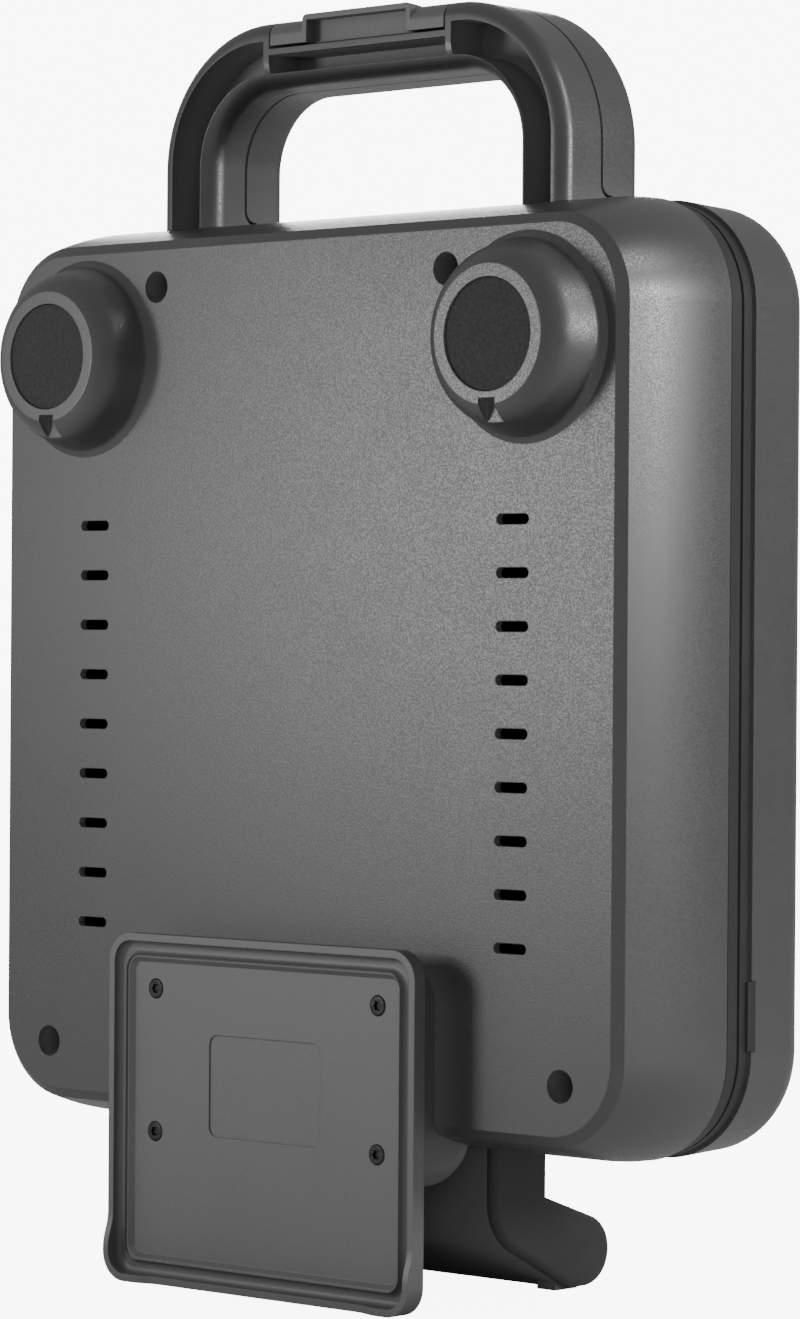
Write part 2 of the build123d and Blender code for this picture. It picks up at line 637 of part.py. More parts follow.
# --- cooking plates, seen as the lower one; the upper one is its mirror image ---------
def lower_plate():
    """Cast plate with four sandwich pockets."""
    low_y = BASE_PLATE_Y - PLATE_DEPTH
    plate = slab(plate_outline(0), BASE_PLATE_Y - PLATE_RIM_T, BASE_PLATE_Y)
    pan = Pos(0, BODY_MID_Z) * RectangleRounded(PAN_WIDTH, PAN_HEIGHT, POCKET_CORNER_R)
    plate += slab(pan, low_y, BASE_PLATE_Y - PLATE_RIM_T)
    for side_x in (1, -1):
        for side_z in (1, -1):
            x = side_x * (POCKET_WIDTH + PLATE_SEAL_T) / 2
            z = BODY_MID_Z + side_z * (POCKET_HEIGHT + PLATE_SEAL_T) / 2
            outline = Pos(x, z) * RectangleRounded(POCKET_WIDTH, POCKET_HEIGHT, POCKET_CORNER_R)
            pocket = slab(outline, BASE_PLATE_Y - POCKET_DEPTH, BASE_PLATE_Y + 1)
            floor_edges = pocket.edges().group_by(Axis.Y)[0]
            plate -= fillet(floor_edges, POCKET_FLOOR_R)
    return plate


def heating_element(plane_y, end_low_z):
    """Tubular heater in one loop under a plate, its two ends pointing down."""
    low = BODY_MID_Z - ELEMENT_HALF
    high = BODY_MID_Z + ELEMENT_HALF
    points = [
        (ELEMENT_END_X, plane_y, end_low_z),
        (ELEMENT_END_X, plane_y, low),
        (ELEMENT_HALF, plane_y, low + 0.01),
        (ELEMENT_HALF, plane_y, high),
        (-ELEMENT_HALF, plane_y, high),
        (-ELEMENT_HALF, plane_y, low + 0.01),
        (-ELEMENT_END_X, plane_y, low),
        (-ELEMENT_END_X, plane_y, end_low_z),
    ]
    return tube(points, ELEMENT_BEND_R, ELEMENT_R)


def element_end_z():
    """Lower end of the heater, just outside the reflector."""
    return BODY_MID_Z - PLATE_HEIGHT / 2 - ELEMENT_END_ROOM


def element_y():
    """Depth of the lower heater's centre line, clear under the pans."""
    return BASE_PLATE_Y - PLATE_DEPTH - SEAT_GAP - ELEMENT_R


def lower_reflector():
    """Folded sheet pan that keeps the heater's heat off the shell."""
    rim_y = BASE_PLATE_Y - PLATE_RIM_T
    low_y = element_y() - ELEMENT_R - REFLECTOR_SPACE
    pan = slab(plate_outline(REFLECTOR_INSET), low_y, rim_y)
    pan -= slab(plate_outline(REFLECTOR_INSET + REFLECTOR_T), low_y + REFLECTOR_T, rim_y)
    for x in (ELEMENT_END_X, -ELEMENT_END_X):
        hole_z = BODY_MID_Z - PLATE_HEIGHT / 2
        pan -= rod_z(x, element_y(), ELEMENT_R + REFLECTOR_HOLE_GAP, hole_z, hole_z + 2 * REFLECTOR_INSET)
    return pan


def plate_clips():
    """Four spring clips under the lower bezel that hold the plate by its rim."""
    y_high = BASE_PLATE_Y - PLATE_RIM_T
    clips = []
    for side in (1, -1):
        x_in = side * (PLATE_WIDTH / 2 - CLIP_GRIP)
        x_out = x_in + side * CLIP_REACH
        for z in (BODY_MID_Z + PLATE_HEIGHT / 4, BODY_MID_Z - PLATE_HEIGHT / 4):
            z_range = (z - CLIP_WIDTH / 2, z + CLIP_WIDTH / 2)
            ledge = block(sorted((x_in, x_out)), (y_high - CLIP_T, y_high), z_range)
            top = BASE_BEZEL_Y - BEZEL_FLANGE
            stem = block(sorted((x_out - side * CLIP_T, x_out)), (y_high - CLIP_T, top), z_range)
            clips.append(ledge + stem)
    return clips


def flip(shape):
    """Mirror image of a lower piece across the parting plane, for the lid."""
    return mirror(shape, about=Plane(origin=(0, PARTING_Y, 0), z_dir=(0, 1, 0)))


def thermostat():
    """Round snap-action thermostat seated on the lower plate's back."""
    seat_y = BASE_PLATE_Y - PLATE_DEPTH
    can = rod_y(0, BODY_MID_Z, THERMOSTAT_R, seat_y - THERMOSTAT_T, seat_y)
    blades = []
    for x in (-BLADE_SPACE / 2, BLADE_SPACE / 2):
        y_range = (seat_y - THERMOSTAT_T - BLADE_L, seat_y - THERMOSTAT_T)
        z_range = (BODY_MID_Z - BLADE_W / 2, BODY_MID_Z + BLADE_W / 2)
        blades.append(block((x - BLADE_T / 2, x + BLADE_T / 2), y_range, z_range))
    return can + blades


def thermal_fuse():
    """One-shot fuse in its sleeve, clamped flat on the lower plate's back."""
    seat_y = BASE_PLATE_Y - PLATE_DEPTH
    sleeve = rod_z(FUSE_SHIFT, seat_y - FUSE_R, FUSE_R, BODY_MID_Z - FUSE_HALF_L, BODY_MID_Z + FUSE_HALF_L)
    x_range = (FUSE_SHIFT - SADDLE_HALF_W, FUSE_SHIFT + SADDLE_HALF_W)
    z_range = (BODY_MID_Z - SADDLE_HALF_H, BODY_MID_Z + SADDLE_HALF_H)
    saddle = block(x_range, (seat_y - SADDLE_T, seat_y), z_range)
    return sleeve + saddle


def terminal_block():
    """Three-way terminal block screwed to the inside of the underside panel."""
    low_z = TERMINAL_Z - TERMINAL_HEIGHT / 2
    high_z = TERMINAL_Z + TERMINAL_HEIGHT / 2
    x_range = (TERMINAL_X - TERMINAL_WIDTH / 2, TERMINAL_X + TERMINAL_WIDTH / 2)
    body = block(x_range, (WALL, WALL + TERMINAL_DEPTH), (low_z, high_z))
    ways = []
    for k in (-1, 0, 1):
        x = TERMINAL_X + k * TERMINAL_WIDTH / 3
        ways.append(rod_z(x, WALL + TERMINAL_DEPTH / 2, TERMINAL_WAY_R, low_z - CUT, high_z + CUT))
    return body - ways


def cord_gland():
    """Rubber bush in the base's lower wall, where the supply cord goes in."""
    low_z = BODY_BOTTOM_Z + GLAND_SINK - GLAND_FLANGE_T
    neck_top = low_z + GLAND_NECK_L
    neck = rod_z(GLAND_X, GLAND_Y, GLAND_R, low_z, neck_top)
    inner_flange = rod_z(GLAND_X, GLAND_Y, GLAND_FLANGE_R, neck_top, neck_top + GLAND_FLANGE_T)
    outer_flange = rod_z(GLAND_X, GLAND_Y, GLAND_FLANGE_R, low_z - GLAND_FLANGE_T, low_z + GLAND_FLANGE_T - GLAND_SINK)
    bush = neck + [inner_flange, outer_flange]
    bush -= rod_z(GLAND_X, GLAND_Y, GLAND_BORE_R, low_z - GLAND_FLANGE_T - CUT, neck_top + GLAND_FLANGE_T + CUT)
    return bush - base_walls_near_gland()


def gland_hole():
    """Round hole in the base's lower wall for the gland."""
    return rod_z(GLAND_X, GLAND_Y, GLAND_R, BODY_BOTTOM_Z - GLAND_NECK_L, BODY_BOTTOM_Z + 2 * GLAND_NECK_L)


def base_walls_near_gland():
    """The stretch of the base's lower wall that the gland grips."""
    reach = 2 * GLAND_FLANGE_R
    near = block(
        (GLAND_X - reach, GLAND_X + reach),
        (GLAND_Y - reach, GLAND_Y + reach),
        (BODY_BOTTOM_Z - GLAND_NECK_L, BODY_BOTTOM_Z + 2 * GLAND_NECK_L),
    )
    return ((base_volume() - base_hollow()) & near) - gland_hole()


# --- handle ---------------------------------------------------------------------------
def arch_edges(solid, y, half_w, top_z):
    """Edges of an arch's face at depth y that lie on the given outline."""
    chosen = []
    for edge in solid.edges().filter_by_position(Axis.Y, y - 0.01, y + 0.01):
        middle = edge @ 0.5
        if middle.Z < BODY_TOP_Z - HANDLE_ROOT / 2:
            continue
        on_outline = abs(abs(middle.X) - half_w) < 0.01 or abs(middle.Z - top_z) < 0.01
        shoulder = edge.geom_type == GeomType.CIRCLE
        if on_outline or (shoulder and abs(edge.radius - (half_w - abs(edge.arc_center.X))) < 0.01):
            chosen.append(edge)
    return chosen


def handle_blank(y_low, y_high, y_round, outer_round, inner_round):
    """Arch of the handle between two depths, rounded on the face at y_round."""
    low_z = BODY_TOP_Z - HANDLE_ROOT
    outside = arch(HANDLE_HALF_W, HANDLE_TOP_Z, HANDLE_CORNER_R, low_z)
    window = arch(GRIP_HALF_W, GRIP_TOP_Z, GRIP_CORNER_R, low_z - 1)
    blank = slab(outside - window, y_low, y_high)
    blank = fillet(arch_edges(blank, y_round, HANDLE_HALF_W, HANDLE_TOP_Z), outer_round)
    return fillet(arch_edges(blank, y_round, GRIP_HALF_W, GRIP_TOP_Z), inner_round)


def channel(side, top, grip, corner_r, y_low, y_high):
    """Hollow inside a handle half, given its wall on each side."""
    low_z = BODY_TOP_Z - HANDLE_ROOT - CUT
    outside = arch(HANDLE_HALF_W - side, HANDLE_TOP_Z - top, corner_r, low_z)
    window = arch(GRIP_HALF_W + grip, GRIP_TOP_Z + grip, GRIP_CORNER_R + grip, low_z - 1)
    return slab(outside - window, y_low, y_high)


def latch_walls(y_low, y_high):
    """Floor and two cross ribs that frame the latch recess inside a handle half."""
    rib_out = RECESS_HALF_W + LATCH_RIB_T
    floor = block((-rib_out, rib_out), (y_low, y_high), (LATCH_FLOOR_Z - LATCH_FLOOR_T, LATCH_FLOOR_Z))
    rib_z = (GRIP_TOP_Z + CHANNEL_GRIP / 2, HANDLE_TOP_Z - CHANNEL_TOP / 2)
    ribs = both_sides(block((RECESS_HALF_W, rib_out), (y_low, y_high), rib_z))
    return [floor] + ribs


def latch_recess(y_low, y_high):
    """Space that is cut out of the top of the handle for the latch."""
    return block((-RECESS_HALF_W, RECESS_HALF_W), (y_low, y_high), (LATCH_FLOOR_Z, HANDLE_TOP_Z + LATCH_RECESS_DEPTH))


def seam_foot(extra):
    """Toe of the base half's leg: it curves back over the body to the parting plane."""
    seam = HANDLE_SEAM_Y - HANDLE_SEAM_GAP / 2
    reach = BASE_BEZEL_Y - seam
    top = BODY_TOP_Z + SEAM_FOOT_RISE + SEAM_FOOT_R
    outline = make_face([
        Line((seam - 1, BODY_TOP_Z - HANDLE_ROOT), (seam - 1, top + extra)),
        Line((seam - 1, top + extra), (seam + extra, top + extra)),
        ThreePointArc(
            (seam + extra, top + extra),
            (seam + reach * 0.293 + extra * 0.7, BODY_TOP_Z + SEAM_FOOT_RISE + SEAM_FOOT_R * 0.293 + extra * 0.7),
            (seam + reach + extra, BODY_TOP_Z + SEAM_FOOT_RISE + extra),
        ),
        Line((seam + reach + extra, BODY_TOP_Z + SEAM_FOOT_RISE + extra), (seam + reach + extra, BODY_TOP_Z - HANDLE_ROOT)),
        Line((seam + reach + extra, BODY_TOP_Z - HANDLE_ROOT), (seam - 1, BODY_TOP_Z - HANDLE_ROOT)),
    ])
    return beam(outline, -HANDLE_HALF_W - extra, HANDLE_HALF_W + extra)


def base_handle():
    """Base half of the handle: an open channel with ribs and the latch recess."""
    seam = HANDLE_SEAM_Y - HANDLE_SEAM_GAP / 2
    half = handle_blank(HANDLE_FRONT_Y, seam, HANDLE_FRONT_Y, HANDLE_OUTER_R, HANDLE_INNER_R)
    hollow = channel(CHANNEL_SIDE, CHANNEL_TOP, CHANNEL_GRIP, CHANNEL_CORNER_R, HANDLE_FRONT_Y - CUT, seam - CHANNEL_WEB)
    half -= hollow - latch_walls(HANDLE_FRONT_Y, seam)
    legs = slab(arch(HANDLE_HALF_W, HANDLE_TOP_Z, HANDLE_CORNER_R, BODY_TOP_Z - HANDLE_ROOT)
                - arch(GRIP_HALF_W, GRIP_TOP_Z, GRIP_CORNER_R, BODY_TOP_Z - HANDLE_ROOT - CUT), seam - 0.5, BASE_BEZEL_Y)
    half += legs & seam_foot(0)
    half -= latch_recess(HANDLE_FRONT_Y - 1, seam + 1)
    catch_y = (HANDLE_FRONT_Y + LATCH_CATCH_SETBACK, HANDLE_FRONT_Y + LATCH_CATCH_SETBACK + LATCH_CATCH_W)
    catch = block((-LATCH_TAB_HALF_W, LATCH_TAB_HALF_W), catch_y, (LATCH_FLOOR_Z - LATCH_FLOOR_T / 2, LATCH_FLOOR_Z + LATCH_CATCH_H))
    half += catch
    half -= base_volume()
    bezel_block = slab(body_outline(BEZEL_RECESS), BASE_RIM_Y - 0.01, BASE_BEZEL_Y + 1)
    return half - bezel_block


def lid_handle():
    """Lid half of the handle, with the rear of the latch recess and its pin holes."""
    seam = HANDLE_SEAM_Y + HANDLE_SEAM_GAP / 2
    half = handle_blank(seam, HANDLE_BACK_Y, HANDLE_BACK_Y, HANDLE_BACK_R, HANDLE_BACK_R)
    hollow = channel(HANDLE_WALL, HANDLE_WALL, HANDLE_WALL, HANDLE_CORNER_R - HANDLE_WALL, seam - CUT, HANDLE_BACK_Y - HANDLE_WALL)
    legs_end = block((-FAR, FAR), (seam - 2, HANDLE_BACK_Y), (BODY_TOP_Z - HANDLE_ROOT - CUT, BODY_TOP_Z + 2 * WALL))
    back_z = (GRIP_TOP_Z + HANDLE_WALL / 2, HANDLE_TOP_Z - HANDLE_WALL / 2)
    back_wall = block((-RECESS_HALF_W - LATCH_RIB_T, RECESS_HALF_W + LATCH_RIB_T), (RECESS_BACK_Y, RECESS_BACK_Y + LATCH_BACK_T), back_z)
    half -= hollow - legs_end - latch_walls(seam, HANDLE_BACK_Y - HANDLE_WALL / 2) - back_wall
    half -= latch_recess(seam - 1, RECESS_BACK_Y)
    half -= rod_x(LATCH_AXIS_Y, LATCH_AXIS_Z, LATCH_PIN_R, -RECESS_HALF_W - 2 * LATCH_RIB_T, RECESS_HALF_W + 2 * LATCH_RIB_T)
    half -= seam_foot(HANDLE_SEAM_GAP)
    half -= slab(body_outline(0), seam - 1, BASE_BEZEL_Y + 0.01)
    half -= slab(body_outline(BEZEL_RECESS), seam - 1, LID_RIM_Y + 1)
    half -= slab(body_outline(-HANDLE_SEAM_GAP), seam - 1, LID_BEZEL_Y)
    return half - lid_volume(0, LID_TOP_Y, LID_EDGE_R)


# --- latch ----------------------------------------------------------------------------
def latch_section(top_rise):
    """Y-Z outline of the latch: front lip, top plate and barrel."""
    front = HANDLE_FRONT_Y
    lip_z = LATCH_FLOOR_Z + LATCH_LIP_GAP
    top = HANDLE_TOP_Z
    r = HANDLE_OUTER_R
    inner = LATCH_PLATE_T
    if top_rise > 0:
        outer = [
            Line((front, lip_z), (front, top + top_rise)),
            Line((front, top + top_rise), (LATCH_TAB_BACK_Y, top)),
            Line((LATCH_TAB_BACK_Y, top), (LATCH_AXIS_Y, top)),
        ]
    else:
        outer = [
            Line((front, lip_z), (front, top - r)),
            RadiusArc((front, top - r), (front + r, top), r),
            Line((front + r, top), (LATCH_AXIS_Y, top)),
        ]
    inside = [
        Line((LATCH_AXIS_Y, top), (LATCH_AXIS_Y, top - inner)),
        Line((LATCH_AXIS_Y, top - inner), (front + r, top - inner)),
        RadiusArc((front + r, top - inner), (front + inner, top - r), -(r - inner)),
        Line((front + inner, top - r), (front + inner, lip_z)),
        Line((front + inner, lip_z), (front, lip_z)),
    ]
    return make_face(outer + inside)


def latch_clip():
    """Latch plate with its front lip, finger scoop, ribs and hinge barrel."""
    clip = beam(latch_section(0), -LATCH_HALF_W, LATCH_HALF_W)
    clip += rod_x(LATCH_AXIS_Y, LATCH_AXIS_Z, LATCH_BARREL_R, -LATCH_HALF_W, LATCH_HALF_W)
    front = HANDLE_FRONT_Y
    lip_z = LATCH_FLOOR_Z + LATCH_LIP_GAP
    hood_back = front + LATCH_SCOOP_DEPTH + LATCH_SCOOP_WALL
    hood = beam(latch_section(LATCH_TAB_RISE), -LATCH_TAB_HALF_W, LATCH_TAB_HALF_W)
    hood += block((-LATCH_TAB_HALF_W, LATCH_TAB_HALF_W), (front, hood_back), (lip_z, HANDLE_TOP_Z))
    hood_shape = arch(LATCH_TAB_HALF_W, HANDLE_TOP_Z + LATCH_TAB_RISE, LATCH_TAB_CORNER_R, lip_z)
    clip += hood & slab(hood_shape, front - CUT, LATCH_AXIS_Y)
    scoop_x = LATCH_TAB_HALF_W - LATCH_SCOOP_WALL
    scoop_z = (lip_z - CUT, HANDLE_TOP_Z + LATCH_TAB_RISE - LATCH_SCOOP_WALL)
    scoop = block((-scoop_x, scoop_x), (front - 1, front + LATCH_SCOOP_DEPTH), scoop_z)
    clip -= scoop
    web_z = (LATCH_AXIS_Z - LATCH_PIN_R, HANDLE_TOP_Z - LATCH_PLATE_T / 2)
    for x in (-LATCH_WEB_X, 0, LATCH_WEB_X):
        clip += block((x - LATCH_WEB_T / 2, x + LATCH_WEB_T / 2), (hood_back - LATCH_SCOOP_WALL, LATCH_AXIS_Y), web_z)
    return clip - rod_x(LATCH_AXIS_Y, LATCH_AXIS_Z, LATCH_PIN_R + RUNNING_GAP, -FAR, FAR)


def latch_pin():
    """Steel pin of the latch, held in the lid half's cross ribs."""
    reach = RECESS_HALF_W + LATCH_RIB_T + LATCH_PIN_OVER
    return rod_x(LATCH_AXIS_Y, LATCH_AXIS_Z, LATCH_PIN_R - LATCH_PIN_GAP, -reach, reach)


# --- rear foot ------------------------------------------------------------------------
def foot_plate_outline(inset, corner_r=PLATE_FOOT_CORNER_R):
    """X-Z outline of the rear foot plate, moved inwards by inset."""
    width = 2 * (PLATE_HALF_W - inset)
    return Pos(0, PLATE_TOP_Z / 2) * RectangleRounded(width, PLATE_TOP_Z - 2 * inset, corner_r)


def plate_lugs():
    """Raised lower corners of the plate's rim: the rear feet when the appliance lies flat."""
    inner = foot_plate_outline(PLATE_RIM_W, PLATE_FOOT_CORNER_R - PLATE_RIM_W)
    rim = slab(foot_plate_outline(0) - inner, -FOOT_HEIGHT, PLATE_RIM_Y)
    side_ramp = make_face([
        Line((PLATE_RIM_Y, 0), (-FOOT_HEIGHT, 0)),
        Line((-FOOT_HEIGHT, 0), (-FOOT_HEIGHT, LUG_LENGTH_Z - LUG_RAMP)),
        Spline((-FOOT_HEIGHT, LUG_LENGTH_Z - LUG_RAMP), (PLATE_RIM_Y, LUG_LENGTH_Z), tangents=((0, 1), (0, 1))),
        Line((PLATE_RIM_Y, LUG_LENGTH_Z), (PLATE_RIM_Y, 0)),
    ])
    inner_x = PLATE_HALF_W - LUG_LENGTH_X
    edge_ramp = make_face([
        Line((PLATE_HALF_W, PLATE_RIM_Y), (PLATE_HALF_W, -FOOT_HEIGHT)),
        Line((PLATE_HALF_W, -FOOT_HEIGHT), (inner_x + LUG_RAMP, -FOOT_HEIGHT)),
        Spline((inner_x + LUG_RAMP, -FOOT_HEIGHT), (inner_x, PLATE_RIM_Y), tangents=((-1, 0), (-1, 0))),
        Line((inner_x, PLATE_RIM_Y), (PLATE_HALF_W, PLATE_RIM_Y)),
    ])
    envelope = beam(side_ramp, 0, PLATE_HALF_W) & extrude(edge_ramp, amount=LUG_LENGTH_Z)
    return both_sides(rim & envelope)


def rear_foot_plate():
    """Dished plate on the neck: rim, round gutter, thin ridge, bare label seat and lugs."""
    plate = slab(foot_plate_outline(0), PLATE_RIM_Y, PLATE_BACK_Y)
    gutter_in = PLATE_RIM_W + GUTTER_W
    island = foot_plate_outline(gutter_in, RIDGE_CORNER_R)
    gutter = slab(foot_plate_outline(PLATE_RIM_W, PLATE_FOOT_CORNER_R - PLATE_RIM_W) - island, PLATE_RIM_Y - CUT, GUTTER_Y)
    gutter_r = min(GUTTER_W * 0.45, GUTTER_DEPTH * 0.8)
    plate -= fillet(gutter.edges().group_by(Axis.Y)[-1], gutter_r)
    plate -= slab(island, PLATE_RIM_Y - CUT, RIDGE_Y)
    dish_in = gutter_in + RIDGE_W
    dish_r = RIDGE_CORNER_R - RIDGE_W
    brim = foot_plate_outline(dish_in, dish_r)
    floor = foot_plate_outline(dish_in + RIDGE_SLOPE_W, dish_r - RIDGE_SLOPE_W)
    plate -= loft([facing_y(RIDGE_Y) * brim, facing_y(PLATE_FLOOR_Y) * floor], ruled=True)
    plate += plate_lugs()
    label = RectangleRounded(2 * LABEL_HALF_W, LABEL_HEIGHT, LABEL_R)
    plate -= slab(Pos(0, LABEL_MID_Z) * label, PLATE_RIM_Y, PLATE_FLOOR_Y + LABEL_SINK)
    for x, z in plate_screw_points():
        plate -= rod_y(x, z, PLATE_SCREW_HEAD_R + SCREW_GAP, PLATE_RIM_Y, PLATE_SCREW_SEAT_Y)
        plate -= rod_y(x, z, PLATE_SCREW_SHANK_R + SCREW_GAP, PLATE_RIM_Y, PLATE_BACK_Y + CUT)
    return plate


def plate_screw_points():
    """Centres of the four screws of the rear foot plate."""
    return [(x, z) for x in (PLATE_SCREW_X, -PLATE_SCREW_X) for z in (PLATE_SCREW_LOW_Z, PLATE_SCREW_HIGH_Z)]


def foot_plate_screws():
    """Four star-headed screws that hold the plate to the neck."""
    screws = []
    for x, z in plate_screw_points():
        head = rod_y(x, z, PLATE_SCREW_HEAD_R, PLATE_SCREW_TOP_Y, PLATE_SCREW_SEAT_Y)
        head = fillet(head.edges().filter_by(GeomType.CIRCLE).group_by(Axis.Y)[0], PLATE_SCREW_HEAD_ROUND)
        shank = rod_y(x, z, PLATE_SCREW_SHANK_R, PLATE_SCREW_SEAT_Y, PLATE_BACK_Y + PLATE_SCREW_BITE)
        socket_y = (PLATE_SCREW_TOP_Y - CUT, PLATE_SCREW_TOP_Y + STAR_DEPTH)
        star = []
        for k in range(6):
            angle = k * math.pi / 3
            star.append(rod_y(x + STAR_R * math.cos(angle), z + STAR_R * math.sin(angle), STAR_LOBE_R, *socket_y))
        hub = rod_y(x, z, STAR_R + STAR_LOBE_R / 8, *socket_y)
        screws.append(head + shank - star - hub)
    return screws


def rear_foot_neck():
    """Hollow neck that carries the plate; its rounded underside runs back under the body."""
    low = (NECK_REAR_Y, NECK_LOW_Z)
    outline = polygon((PLATE_BACK_Y, NECK_HIGH_Z), (PLATE_BACK_Y, NECK_LOW_Z), low, (NECK_REAR_Y, NECK_HIGH_Z))
    outline = fillet(outline.vertices().sort_by_distance((*low, 0))[0], NECK_REAR_R)
    neck = beam(outline, -NECK_HALF_W, NECK_HALF_W)
    neck = fillet(neck.edges().filter_by(Axis.Y).group_by(Axis.Z)[-1], NECK_CORNER_R)
    under = []
    for edge in neck.edges():
        middle = edge @ 0.5
        if abs(abs(middle.X) - NECK_HALF_W) < 0.01 and middle.Y > PLATE_BACK_Y + 0.01 and middle.Z < NECK_HIGH_Z - NECK_CORNER_R - 1:
            under.append(edge)
    neck = fillet(under, NECK_BOTTOM_R)
    hollow_w = 2 * (NECK_HALF_W - NECK_WALL)
    hollow_h = NECK_HIGH_Z - NECK_LOW_Z - 2 * NECK_WALL
    hollow = RectangleRounded(hollow_w, hollow_h, NECK_CORNER_R - NECK_WALL)
    neck -= slab(Pos(0, (NECK_LOW_Z + NECK_HIGH_Z) / 2) * hollow, PLATE_BACK_Y, -NECK_WALL)
    neck += [rod_y(x, z, PLATE_SCREW_SHANK_R + PLATE_BOSS_WALL, PLATE_BACK_Y, -NECK_WALL) for x, z in plate_screw_points()]
    for x, z in plate_screw_points():
        neck -= rod_y(x, z, PLATE_SCREW_SHANK_R + SCREW_GAP, PLATE_BACK_Y - CUT, PLATE_BACK_Y + PLATE_SCREW_BITE + SCREW_TIP_ROOM)
    return neck - base_volume()


# --- hinge ----------------------------------------------------------------------------
def housing_bar(x_low, x_high):
    """Full section of the hinge housing: a post, a slanted arm and a round end."""
    knee = (HOUSING_BACK_Y, HOUSING_KNEE_Z)
    reach = math.hypot(HINGE_Y - knee[0], knee[1] - HINGE_Z)
    angle = math.atan2(knee[1] - HINGE_Z, knee[0] - HINGE_Y) - math.acos(HINGE_R / reach)
    tangent = (HINGE_Y + HINGE_R * math.cos(angle), HINGE_Z + HINGE_R * math.sin(angle))
    bend = (HOUSING_FRONT_Y, HOUSING_BEND_Z)
    outline = polygon(
        bend,
        (HOUSING_FRONT_Y, BODY_BOTTOM_Z + HOUSING_SETBACK),
        (HOUSING_BACK_Y, BODY_BOTTOM_Z + HOUSING_SETBACK),
        knee,
        tangent,
        (HINGE_Y, HINGE_Z),
        (HINGE_Y, HINGE_Z - HINGE_R),
        (HOUSING_TOE_Y, HINGE_Z - HINGE_R),
    )
    outline = fillet(outline.vertices().sort_by_distance((*bend, 0))[0], HOUSING_BEND_R)
    return beam(outline + Pos(HINGE_Y, HINGE_Z) * Circle(HINGE_R), x_low, x_high)


def under_body(shape):
    """Trim a housing piece to the body above it, clear of the lid's edge."""
    shape -= base_volume()
    return shape - block((-FAR, FAR), (BASE_RIM_Y - 0.01, FAR), (BODY_BOTTOM_Z - HOUSING_LID_GAP, FAR))


def edges_at_x(shape, x):
    """Edges of a housing piece in the plane at x, below the body."""
    return [e for e in shape.edges() if abs((e @ 0.5).X - x) < 0.01 and abs((e @ 0).X - x) < 0.01 and (e @ 0.5).Z < BODY_BOTTOM_Z + HOUSING_SETBACK / 2]


def hinge_housing():
    """Housing under the base with two knuckles, a web between them and two nubs."""
    arm = housing_bar(-HOUSING_CORE_W, HOUSING_CORE_W)
    seams = [e for x in (HOUSING_CORE_W, -HOUSING_CORE_W) for e in edges_at_x(arm, x)]
    arm = under_body(chamfer(seams, CHEEK_SEAM))
    room = KNUCKLE_HALF_W + KNUCKLE_GAP
    pocket_r = KNUCKLE_R + KNUCKLE_GAP
    arm -= rod_x(HINGE_Y, HINGE_Z, pocket_r, -room, room)
    arm -= block((-room, room), (HINGE_Y - pocket_r, FAR), (HINGE_Z, HOUSING_KNEE_Z + CUT))
    arm -= block((-room, room), (HINGE_Y, FAR), (-HINGE_R, HINGE_Z + CUT))
    nub_x = HOUSING_CORE_W - NUB_INSET
    arm += both_sides(block((nub_x - NUB_WIDTH, nub_x), (NUB_FRONT_Y, NUB_FRONT_Y + NUB_LENGTH), (0, HINGE_Z - HINGE_PIN_R)))
    arm -= rod_x(HINGE_Y, HINGE_Z, HINGE_PIN_R, -HOUSING_HALF_W, HOUSING_HALF_W)
    low_z = BODY_BOTTOM_Z - HOUSING_SCREW_BITE - SCREW_TIP_ROOM
    for x in (HOUSING_SCREW_X, -HOUSING_SCREW_X):
        arm -= rod_z(x, HOUSING_SCREW_Y, SCREW_SHANK_R + SCREW_GAP, low_z, BODY_BOTTOM_Z + 3 * WALL)
    return arm


def hinge_cheeks():
    """Side covers of the hinge housing; they close the ends of the pin's bore."""
    cheek = housing_bar(HOUSING_CORE_W, HOUSING_HALF_W)
    cheek = fillet(edges_at_x(cheek, HOUSING_HALF_W), HOUSING_EDGE_R)
    cheek = chamfer(edges_at_x(cheek, HOUSING_CORE_W), CHEEK_SEAM)
    return both_sides(under_body(cheek))


def housing_screws():
    """Two screws from inside the base down into the hinge housing."""
    screws = []
    inner_wall_z = BODY_BOTTOM_Z + HOUSING_SCREW_SEAT
    for x in (HOUSING_SCREW_X, -HOUSING_SCREW_X):
        head = rod_z(x, HOUSING_SCREW_Y, SCREW_HEAD_R, inner_wall_z, inner_wall_z + SCREW_HEAD_T)
        shank = rod_z(x, HOUSING_SCREW_Y, SCREW_SHANK_R, BODY_BOTTOM_Z - HOUSING_SCREW_BITE, inner_wall_z)
        screws.append(head + shank)
    return screws


def hinge_pin():
    """Steel pin through all three knuckles, closed in by the cheeks."""
    return rod_x(HINGE_Y, HINGE_Z, HINGE_PIN_R - HINGE_PIN_GAP, -HOUSING_CORE_W, HOUSING_CORE_W)


